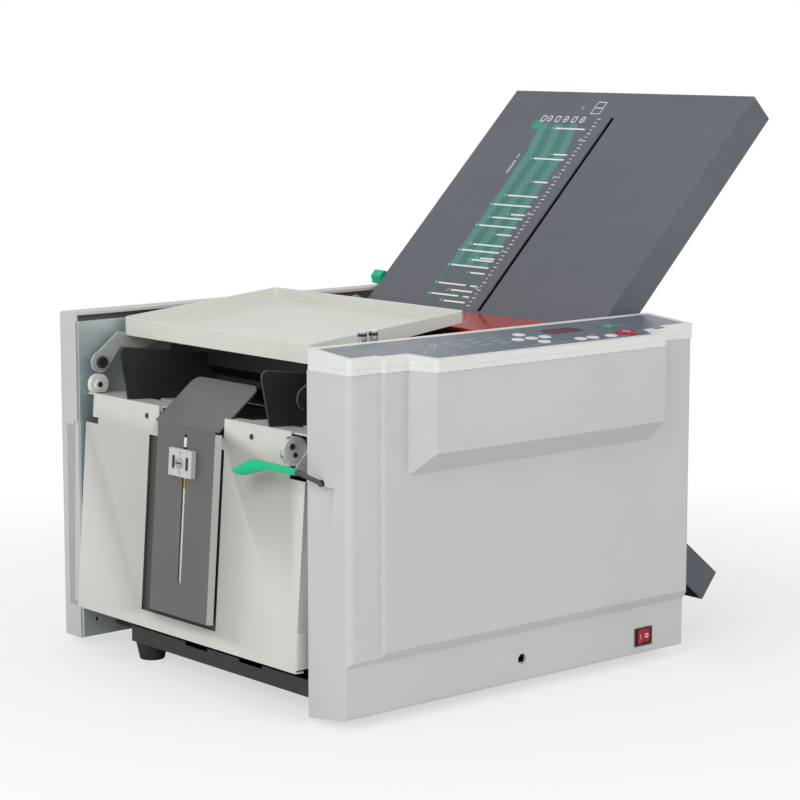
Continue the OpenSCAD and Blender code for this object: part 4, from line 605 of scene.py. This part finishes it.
def recess_end_face(mesh):
    """Shallow band in the rear cover's feed end face."""
    tool = bmesh.new()
    place = local(at(0, 0, 0), (0, 1, 0), (0, 0, 1))
    (near, far), (low, high) = BAND_Y, BAND_Z
    add_prism(tool, place, [(near, low), (far, low), (far, high), (near, high)], -5, BAND_DEPTH)
    return boolean(mesh, tool, "DIFFERENCE")


def groove_bezel(mesh):
    """Ledge line round the moulding, pressed into its sides."""
    for step in LEDGE_STEPS:
        geometry = mesh.verts[:] + mesh.edges[:] + mesh.faces[:]
        middle = at(0, 0, LEDGE_Z + step)
        bmesh.ops.bisect_plane(mesh, geom=geometry, plane_co=middle, plane_no=(0, 0, 1))
    mesh.normal_update()
    moved = []
    slack = 0.05
    for vert in mesh.verts:
        above = (vert.co.z - ORIGIN.z) / MM - LEDGE_Z
        if LEDGE_STEPS[1] - slack < above < LEDGE_STEPS[2] + slack:
            flat = Vector((vert.normal.x, vert.normal.y, 0)).normalized()
            moved.append((vert, vert.co - flat * LEDGE_DEPTH * MM))
    for vert, place in moved:
        vert.co = place
    return mesh


def plain_nodes():
    """Nodes whose CAD shape is right once its edges are rounded: their edge widths in millimetres."""
    widths = {
        "front_cover": 0.7, "control_overlay": 0.2, "top_tray": 0.45,
        "feed_end_panel": 0.35, "clamp_block": 0.5, "support_tongue": 0.3, "side_frame_rear": 0.3,
        "side_frame_front": 0.3, "base_pan": 0.3, "feet": 0.8, "steel_brackets": 0.25, "tray_arms": 0.4,
        "feed_table": 0.3, "lift_plate": 0.3, "side_guide_left": 0.35, "side_guide_right": 0.35,
        "fold_stop_1": 0.3, "fold_stop_2": 0.3, "stop_knob_1": 0.6, "rear_panel": 0.3, "power_inlet": 0.4,
        "red_guard": 0.4, "frame_screws": 0.3, "clamp_screw": 0.2, "cross_ties": 0.3, "switch_bezel": 0.3,
        "main_motor": 0.6, "feed_motor": 0.6, "feed_roller": 0.4, "separation_pad": 0.4, "paper_chutes": 0.2,
        "motor_pulley": 0.3, "drive_belt": 0.2, "power_rocker": 0.4, "start_button": 0.3, "stop_button": 0.5,
        "feed_lever": 0.2,
    }
    pieces = {node: soften(node, width) for node, width in widths.items()}
    pieces["rear_cover"] = soften("rear_cover", 0.9, change=recess_end_face)
    pieces["control_bezel"] = soften("control_bezel", 0.5, change=groove_bezel)
    for i in range(1, 9):
        pieces[f"key_{i}"] = soften(f"key_{i}", 0.28, 3)
    for node in ("fold_plate_1", "fold_plate_2"):
        pieces[node] = soften(node, 0.3, folds=lambda edge: longer_than(edge, 150))
    return pieces


def repaint(pieces):
    """Parts of a piece that have another finish than the rest, with painted shade and painted highlight on
    some pieces.
    """
    black = MATERIALS["black_steel"]
    paint(pieces["tray_arms"], anywhere, PRINT["arm_grey"])
    paint(pieces["tray_arms"], inside((-20, -200, 200), (60, -140, 400)), black)
    far_disc = inside((2, 155.2, 238), (28, 163, 262))
    near_disc = inside((-10, -157, 213), (19, -149, 242))
    paint(pieces["steel_brackets"], far_disc, MATERIALS["white_plastic"])
    paint(pieces["steel_brackets"], near_disc, PRINT["cast_zinc"])
    paint(pieces["clamp_block"], on_panel((-20, -20, 140), (1, 20, 175)), PRINT["block_grey"])
    # The floor of the shallow band in the rear cover's end face is painted darker grey: painted shade.
    band = inside((BAND_DEPTH - 0.3, BAND_Y[0] - 1, BAND_Z[0] - 1),
                  (BAND_DEPTH + 0.5, BAND_Y[1] + 1, BAND_Z[1] + 1))
    paint(pieces["rear_cover"], band, PRINT["band"])
    paint(pieces["start_button"], anywhere, PRINT["start_green"])
    # The separation pad's outer parts, either side of its middle, are painted black.
    paint(pieces["separation_pad"], inside((-20, -200, 0), (200, -25, 400)), black)
    paint(pieces["separation_pad"], inside((-20, 25, 0), (200, 200, 400)), black)
    # The floor and walls of the recess round the tongue are painted dark grey: painted shade.
    paint(pieces["feed_end_panel"], on_panel((1.2, -56, 10), (8, 66, 180)), PRINT["shade"])
    # The tongue's slanted side folds are painted lighter than the tongue: painted highlight.
    for near, far in ((-47.4, -43), (43, 47.4)):
        side = on_panel((-4.4, near, 20), (-0.4, far, 188))
        paint(pieces["support_tongue"], side, PRINT["fold_highlight"])
    paint(pieces["feed_lever"], anywhere, PRINT["dark_rod"])


def kept_nodes():
    """Nodes that stay as they are in shape, with their finish."""
    for node, piece in NODES.items():
        if piece.hide_render:
            continue
        slot = piece.data.materials[0].name.split(".")[0]
        piece.material_slots[0].material = MATERIALS[slot]


# ---------- pieces drawn here ----------

def make_grip():
    """Moulded grip: a full oval section swept along its bent outline."""
    x, y0, z = -15, -177.5, 215.4
    side = rounded([(0, -2.8, 2), (0, 2.8, 2), (38, 3.6, 20), (60, 4, 14), (80, -5.5, 4), (84, -10, 2),
                    (71, -12.4, 12), (66, -10.8, 12), (40, -2.8, 16)], 8)
    plan = rounded([(0, -3.4, 2), (0, 3.4, 2), (36, 3.6, 20), (60, 7, 14), (84, 7, 6.5), (84, -7, 6.5),
                    (60, -7, 14), (36, -3.6, 20)], 8)
    mesh = bmesh.new()
    rings = []
    reach = max(p.x for p in side)
    stations = [0.02, 0.3, 0.9, 2, 8, 16, 24, 30, 36, 41, 46, 51, 56, 60, 64, 68, 71, 73.5]
    stations += [reach - gap for gap in (8, 6, 4.4, 3, 1.9, 1.1, 0.5, 0.15, 0.02)]
    for along in stations:
        low, high = crossing(side, along)
        left, right = crossing(plan, along)
        section = ellipse(right - left, high - low, x, z + (low + high) / 2, 28, 2.5)
        rings.append([at(p.x, y0 + along, p.y) for p in section])
    add_rings(mesh, rings)
    show("grip", mesh, "lever", "green_plastic", angle=50, node="lever_grip")


INTO_PLATE = -0.25              # depth of the print's underside in the plate


def add_bar(mesh, s, near, far, width):
    """Straight mark across the upper fold plate, at s down from its top edge."""
    add_prism(mesh, PLATE, [(-s - width / 2, near), (-s + width / 2, near), (-s + width / 2, far),
                            (-s - width / 2, far)], INTO_PLATE, 0.06)


def make_plate_print():
    """Scale, size bars and setting marks on the upper fold plate."""
    marks = {name: bmesh.new() for name in ("white", "strong_green", "light_green", "dark_green", "grey")}
    to_read = Matrix.Rotation(-pi / 2, 4, "Z")

    # fan of green stripes that narrows towards the scale
    tops = (96, 85, 74, 63, 52, 41)
    middles = (87, 76, 65, 54, 42.5, 31)
    lows = (83.5, 73, 62, 51, 40.5, 30)
    for i in range(5):
        ends = [(-45, tops[i]), (-85, middles[i]), (-240, lows[i])]
        back = [(-240, lows[i + 1]), (-85, middles[i + 1]), (-45, tops[i + 1])]
        tone = ("light_green", "dark_green")[i % 2]
        add_prism(marks[tone], PLATE, ends + back, INTO_PLATE, 0.02 + 0.006 * i)
    for near, far in ((80, 87), (60.5, 63.5), (37, 40)):
        block = rectangle(45, far - near, 0.8, -262, (near + far) / 2)
        add_prism(marks["dark_green"], PLATE, block, INTO_PLATE, 0.035)
    add_prism(marks["strong_green"], PLATE, ellipse(12, 15, -47, 99, 28, 3), INTO_PLATE, 0.04)

    # size bars, with the number of their column
    columns = (
        (47, (86.7, 124.5, 168.9, 195.8, 227.4, 246.5)),
        (57, (230.3, 270, 283.9)),
        (70.5, (51.3, 93.4, 144.3, 174.2, 210.5)),
        (81, (157.2, 185.6, 218.9, 238.8, 262.7, 276.6)),
    )
    for column, (far, places) in enumerate(columns):
        for s in places:
            near = 40.8 if far == 81 and s > 250 else 27.4 - (s - 50) / 125
            add_bar(marks["white"], s, near, far, 1.9)
            number = PLATE @ Matrix.Translation((-s, far + 4, 0)) @ to_read
            add_text(marks["white"], number, str(column + 1), 4.4, INTO_PLATE, 0.07)
    for s in (262.8, 276.7):
        add_bar(marks["white"], s, 25.1, 33.8, 1.9)

    # scale beside the stop's slot
    for i in range(51):
        s = 36.7 + 5 * i
        add_bar(marks["white"], s, 16.8 if i % 2 else 15.6, 20.2, 0.7 if i % 2 else 1.0)
    for text, s in (("30", 65.8), ("25", 116.7), ("20", 166.4), ("15", 216.1), ("10", 264.5)):
        place = PLATE @ Matrix.Translation((-s, 23.4, 0)) @ to_read
        add_text(marks["white"], place, text, 4.6, INTO_PLATE, 0.07)

    # setting marks along the top edge, plain ones in place of the maker's symbols
    for i, y in enumerate((96.3, 87.1, 75.3, 63.6, 51.4, 39.6)):
        outer = ellipse(8.4, 6.4, -38.4, y, 24, 2.4 if i % 2 else 8)
        add_frame(marks["white"], PLATE, outer, shrink(outer, 0.76, 0.7), INTO_PLATE, 0.06)
        if i % 2:
            add_bar(marks["white"], 38.4, y - 1.4, y + 1.4, 0.9)
    outer = rectangle(17, 13, 1.2, -21.5, 28.5)
    add_frame(marks["white"], PLATE, outer, shrink(outer, 0.9, 0.87), INTO_PLATE, 0.06)
    add_bar(marks["white"], 21.5, 24, 33, 1.1)
    add_text(marks["white"], PLATE @ Matrix.Translation((-23, 50.5, 0)) @ to_read, "1", 7, INTO_PLATE, 0.06)
    add_prism(marks["grey"], PLATE, rectangle(18, 3, 0.6, -106, 94.5), INTO_PLATE, 0.05)
    add_prism(marks["white"], PLATE, rectangle(6, 1, 0.3, -91, 95), INTO_PLATE, 0.05)

    for name, mesh in marks.items():
        show("scale_" + name, mesh, "root", "slate_metal", PRINT[name])


def make_keypad_print():
    """Pale rim and plain lines on the keypad film, the display's dark border and the keys' marks."""
    def film(g):
        return key_outline(rounded([
            (6 + g, -178.8 - g, 2), (399 - g, -178.8 - g, 3), (399 - g, -226 + g, 3),
            (365 - g, -226 + g, 0.01), (365 - g, -232 + g, 0.01), (339 - g, -232 + g, 0.01),
            (329 - g, -252 + g, 2), (75 + g, -252 + g, 3), (64 + g, -226 + g, 0.01),
            (37 + g, -226 + g, 0.01), (33 + g, -221.65 + g, 0.01), (6 + g, -221.65 + g, 3)], 4))
    low, high = -0.4, -0.06
    rim = bmesh.new()
    add_frame(rim, KEYPAD, film(0.5), film(1.3), low, high)
    show("film_rim", rim, "root", "film", PRINT["grey"])

    lines = bmesh.new()
    strokes = [
        [(66.8, -213.0), (78.0, -213.4)], [(61.0, -219.4), (72.0, -219.8)],
        [(73, -228), (75, -234), (86, -224.5)], [(96.8, -215.6), (112, -202)], [(101, -217), (116, -203.4)],
    ]
    for row in range(3):
        for column in range(3):
            x, y = 122 + column * 24, -202 - row * 10.5
            strokes.append([(x, y), (x + 17, y)])
            strokes.append([(x, y - 2.6), (x + 9, y - 2.6)])
    strokes += [[(330.5, -207.6), (338.5, -209.4)], [(326, -235), (334, -237.4)], [(190, -243), (233, -243)]]
    for points in strokes:
        add_prism(lines, KEYPAD, stroke(key_outline(points), 0.8), low, high)
    show("film_lines", lines, "root", "film", PRINT["faint"])

    border = bmesh.new()
    outer = key_outline([(239, -205.5), (243.2, -196.2), (278.8, -196.2), (284, -205.5), (278.8, -214.8),
                         (243.2, -214.8)])
    inner = key_outline([(243.3, -205.5), (243.3, -197.3), (278.7, -197.3), (278.7, -205.5), (278.7, -213.7),
                         (243.3, -213.7)])
    add_frame(border, KEYPAD, outer, inner, low, -0.04)
    show("display_border", border, "root", "film", PRINT["black"])

    start = bmesh.new()
    add_prism(start, on_keypad(317, -208.5), [(-2.6, -3), (3.6, 0), (-2.6, 3)], 0.5, 0.84)
    show("start_mark", start, "start_button", "green_plastic", PRINT["grey"])
    stop = bmesh.new()
    outer = rectangle(6, 6, 0.8)
    add_frame(stop, on_keypad(311.5, -236.5), outer, shrink(outer, 0.72), 1.1, 1.44)
    show("stop_mark", stop, "stop_button", "red_key", PRINT["white"])


def make_switch_marks():
    """I and O on the two halves of the power rocker."""
    rest_turn = radians(6)
    slope = atan2(1.7, 8.4)         # of each half of the rocker's face
    tilt = Matrix.Translation(at(*SWITCH)) @ Matrix.Rotation(rest_turn, 4, "Z") @ Matrix.Scale(MM, 4)
    mesh = bmesh.new()
    for side in (-1, 1):
        ahead = Vector((cos(slope), -side * sin(slope), 0))
        turn = Matrix((ahead, Vector((0, 0, 1)), ahead.cross(Vector((0, 0, 1))))).transposed().to_4x4()
        place = tilt @ Matrix.Translation((side * 4.3, -6.57, 0)) @ turn
        if side < 0:
            add_prism(mesh, place, rectangle(0.9, 4.4, 0.3), -0.2, 0.06)
        else:
            outer = ellipse(4, 4.4, steps=24)
            add_frame(mesh, place, outer, shrink(outer, 0.62, 0.66), -0.2, 0.06)
    show("switch_marks", mesh, "rocker", "red_key", PRINT["white"])


def make_feed_end_details():
    """Parts of the clamp and its guide that differ in finish, and the sockets of the screws. The black in the
    clamp's slots, in the clamp screw's slot and in the hex sockets is painted shade.
    """
    dark = bmesh.new()
    # Black solids fill the clamp block's two slots almost to its face: painted shade for the slots' depth.
    for y in (-10, 10):
        slot = rectangle(4.4, 12.2, 2.1, y, BLOCK_S)
        add_prism(dark, PANEL_FACE, slot, TONGUE_OUT + 0.35, BLOCK_OUT - 0.8)
    # two small black bars on the block's face, above and below its middle
    for s in (BLOCK_S - 8.6, BLOCK_S + 8.6):
        add_prism(dark, PANEL_FACE, rectangle(0.8, 3, 0.2, 0, s), BLOCK_OUT - 0.5, BLOCK_OUT + 0.05)
    show("clamp_slot_shade_and_marks", dark, "root", "white_plastic", PRINT["black"])

    # A black bar across the clamp screw's head stands for its slot: painted shade.
    groove = bmesh.new()
    add_prism(groove, PANEL_FACE, rectangle(8, 1.3, 0.2, 0, BLOCK_S), BLOCK_OUT + 1.25, BLOCK_OUT + 1.9)
    show("clamp_screw_slot_shade", groove, "clamp_screw", "bright_steel", PRINT["black"])

    brass = bmesh.new()
    add_turned(brass, PANEL @ Matrix.Translation((-1.0, 3.2, 0)), [(1.95, 133), (1.95, 141.5)], 20)
    show("guide_sleeve", brass, "root", "white_plastic", PRINT["brass"])

    slider = bmesh.new()
    add_prism(slider, PANEL_FACE, rectangle(3.6, 11, 0.6, 0, 176), 3.2, 4.9)
    show("slot_slider", slider, "tongue", "tongue_steel", MATERIALS["white_plastic"])
    cap = bmesh.new()
    add_prism(cap, PANEL_FACE, rectangle(3.6, 2.6, 0.4, 0, 180.4), 3.2, 5.1)
    show("slot_slider_cap", cap, "tongue", "tongue_steel", PRINT["black"])

    # Flat black hexagons at the far pivot and the far disc stand for the hex sockets: painted shade for their
    # hollows.
    sockets = bmesh.new()
    hexagon = ellipse(5.6, 5.6, steps=6)
    add_prism(sockets, operator_face(*FAR_PIVOT), hexagon, -0.5, 0.05)
    add_prism(sockets, operator_face(*FAR_DISC), ellipse(6, 6, steps=6), -0.5, 0.05)
    show("hex_socket_shade", sockets, "root", "black_steel", PRINT["black"])

    bolts = bmesh.new()
    x, y, z = NEAR_DISC
    for dx, dz, radius in ((-4, 4.5, 2.6), (-1, -3, 2.1)):
        head = [(radius, -0.4), (radius, 1.0), (radius * 0.8, 1.3)]
        add_turned(bolts, operator_face(x + dx, y, z + dz), head, 20)
    show("disc_bolts", bolts, "root", "bright_steel", PRINT["black"])

    bands = bmesh.new()
    for x in (70.5, 82.5):
        add_turned(bands, local(at(x, -160, 0), (1, 0, 0), (0, 1, 0)), [(4.06, 320), (4.06, 322.4)], 28)
    show("post_bands", bands, "root", "bright_steel", PRINT["black"])


pieces = plain_nodes()
repaint(pieces)
make_grip()
make_plate_print()
make_keypad_print()
make_switch_marks()
make_feed_end_details()
kept_nodes()

# ---------- stage ----------


FLOOR_SIZE = 12                 # size of the floor's grid, in metres
FLOOR_COLOUR = (0.86, 0.86, 0.86, 1)
WHITE_FROM = (0.3, 0.9)         # the floor turns white between these distances from the middle
WHITE_SHARE = (0.6, 1.0)        # share of plain white at either distance
ROOM_LIGHT = 0.5                # strength of the even light
SENSOR, LENS = 36, 111          # the camera's, in millimetres
CAMERA_PLACE = (-1256.0, -1753.4, 572.8)
CAMERA_AIM = (0.6445, 0.7504, -0.1466)


def make_floor():
    """Pale floor that keeps the object's shadow and is white further out."""
    data = bpy.data.meshes.new("floor")
    mesh = bmesh.new()
    bmesh.ops.create_grid(mesh, x_segments=1, y_segments=1, size=FLOOR_SIZE)
    mesh.to_mesh(data)
    mesh.free()
    floor = bpy.data.objects.new("floor", data)
    bpy.context.scene.collection.objects.link(floor)
    graph = Graph("floor")
    graph.shader.inputs["Base Color"].default_value = FLOOR_COLOUR
    graph.shader.inputs["Roughness"].default_value = 0.9
    white = graph.add("ShaderNodeEmission")
    blend = graph.add("ShaderNodeMixShader")
    output = next(n for n in graph.nodes if n.type == "OUTPUT_MATERIAL")
    distance = graph.add("ShaderNodeVectorMath", operation="LENGTH")
    graph.join(graph.place, distance.inputs[0])
    away = graph.remap(distance.outputs["Value"], *WHITE_FROM, *WHITE_SHARE)
    seen = graph.add("ShaderNodeLightPath").outputs["Is Camera Ray"]
    graph.join(graph.times(away, seen), blend.inputs[0])
    graph.join(graph.shader.outputs["BSDF"], blend.inputs[1])
    graph.join(white.outputs[0], blend.inputs[2])
    graph.join(blend.outputs[0], output.inputs["Surface"])
    data.materials.append(graph.material)


def make_world():
    """White behind the object, and a softer even light on it."""
    world = bpy.data.worlds.new("studio")
    bpy.context.scene.world = world
    world.use_nodes = True
    nodes = world.node_tree.nodes
    links = world.node_tree.links
    nodes.clear()
    output = nodes.new("ShaderNodeOutputWorld")
    blend = nodes.new("ShaderNodeMixShader")
    room = nodes.new("ShaderNodeBackground")
    room.inputs["Color"].default_value = (1, 1, 1, 1)
    room.inputs["Strength"].default_value = ROOM_LIGHT
    white = nodes.new("ShaderNodeBackground")
    white.inputs["Color"].default_value = (1, 1, 1, 1)
    white.inputs["Strength"].default_value = 1.0
    path = nodes.new("ShaderNodeLightPath")
    seen = path.outputs["Is Camera Ray"]
    for kind in ("Is Glossy Ray", "Is Transmission Ray"):
        either = nodes.new("ShaderNodeMath")
        either.operation = "MAXIMUM"
        links.new(seen, either.inputs[0])
        links.new(path.outputs[kind], either.inputs[1])
        seen = either.outputs[0]
    links.new(seen, blend.inputs[0])
    links.new(room.outputs[0], blend.inputs[1])
    links.new(white.outputs[0], blend.inputs[2])
    links.new(blend.outputs[0], output.inputs["Surface"])


def make_lamp(name, place, size, watts):
    """Soft panel of light that faces the object's middle."""
    target = Vector((0, 0, 0.2))
    lamp = bpy.data.lights.new(name, "AREA")
    lamp.shape = "RECTANGLE"
    lamp.size, lamp.size_y = size
    lamp.energy = watts
    holder = bpy.data.objects.new(name, lamp)
    holder.location = place
    holder.rotation_euler = (target - Vector(place)).to_track_quat("-Z", "Y").to_euler()
    bpy.context.scene.collection.objects.link(holder)


def make_camera():
    """The photo's own view, fitted to the straight edges of the covers."""
    camera = bpy.data.objects.new("camera", bpy.data.cameras.new("camera"))
    camera.data.sensor_width = SENSOR
    camera.data.lens = LENS
    camera.data.clip_end = 50
    camera.location = at(*CAMERA_PLACE)
    camera.rotation_euler = Vector(CAMERA_AIM).to_track_quat("-Z", "Y").to_euler()
    bpy.context.scene.collection.objects.link(camera)
    bpy.context.scene.camera = camera


make_floor()
make_world()
make_lamp("key", (-2.4, -0.9, 1.45), (1.8, 1.8), 34)
make_lamp("front", (0.6, -2.6, 1.3), (2.0, 1.4), 18)
make_lamp("top", (0.3, 0.4, 2.6), (2.2, 2.2), 6)
make_camera()
bpy.context.scene.view_settings.view_transform = "Standard"
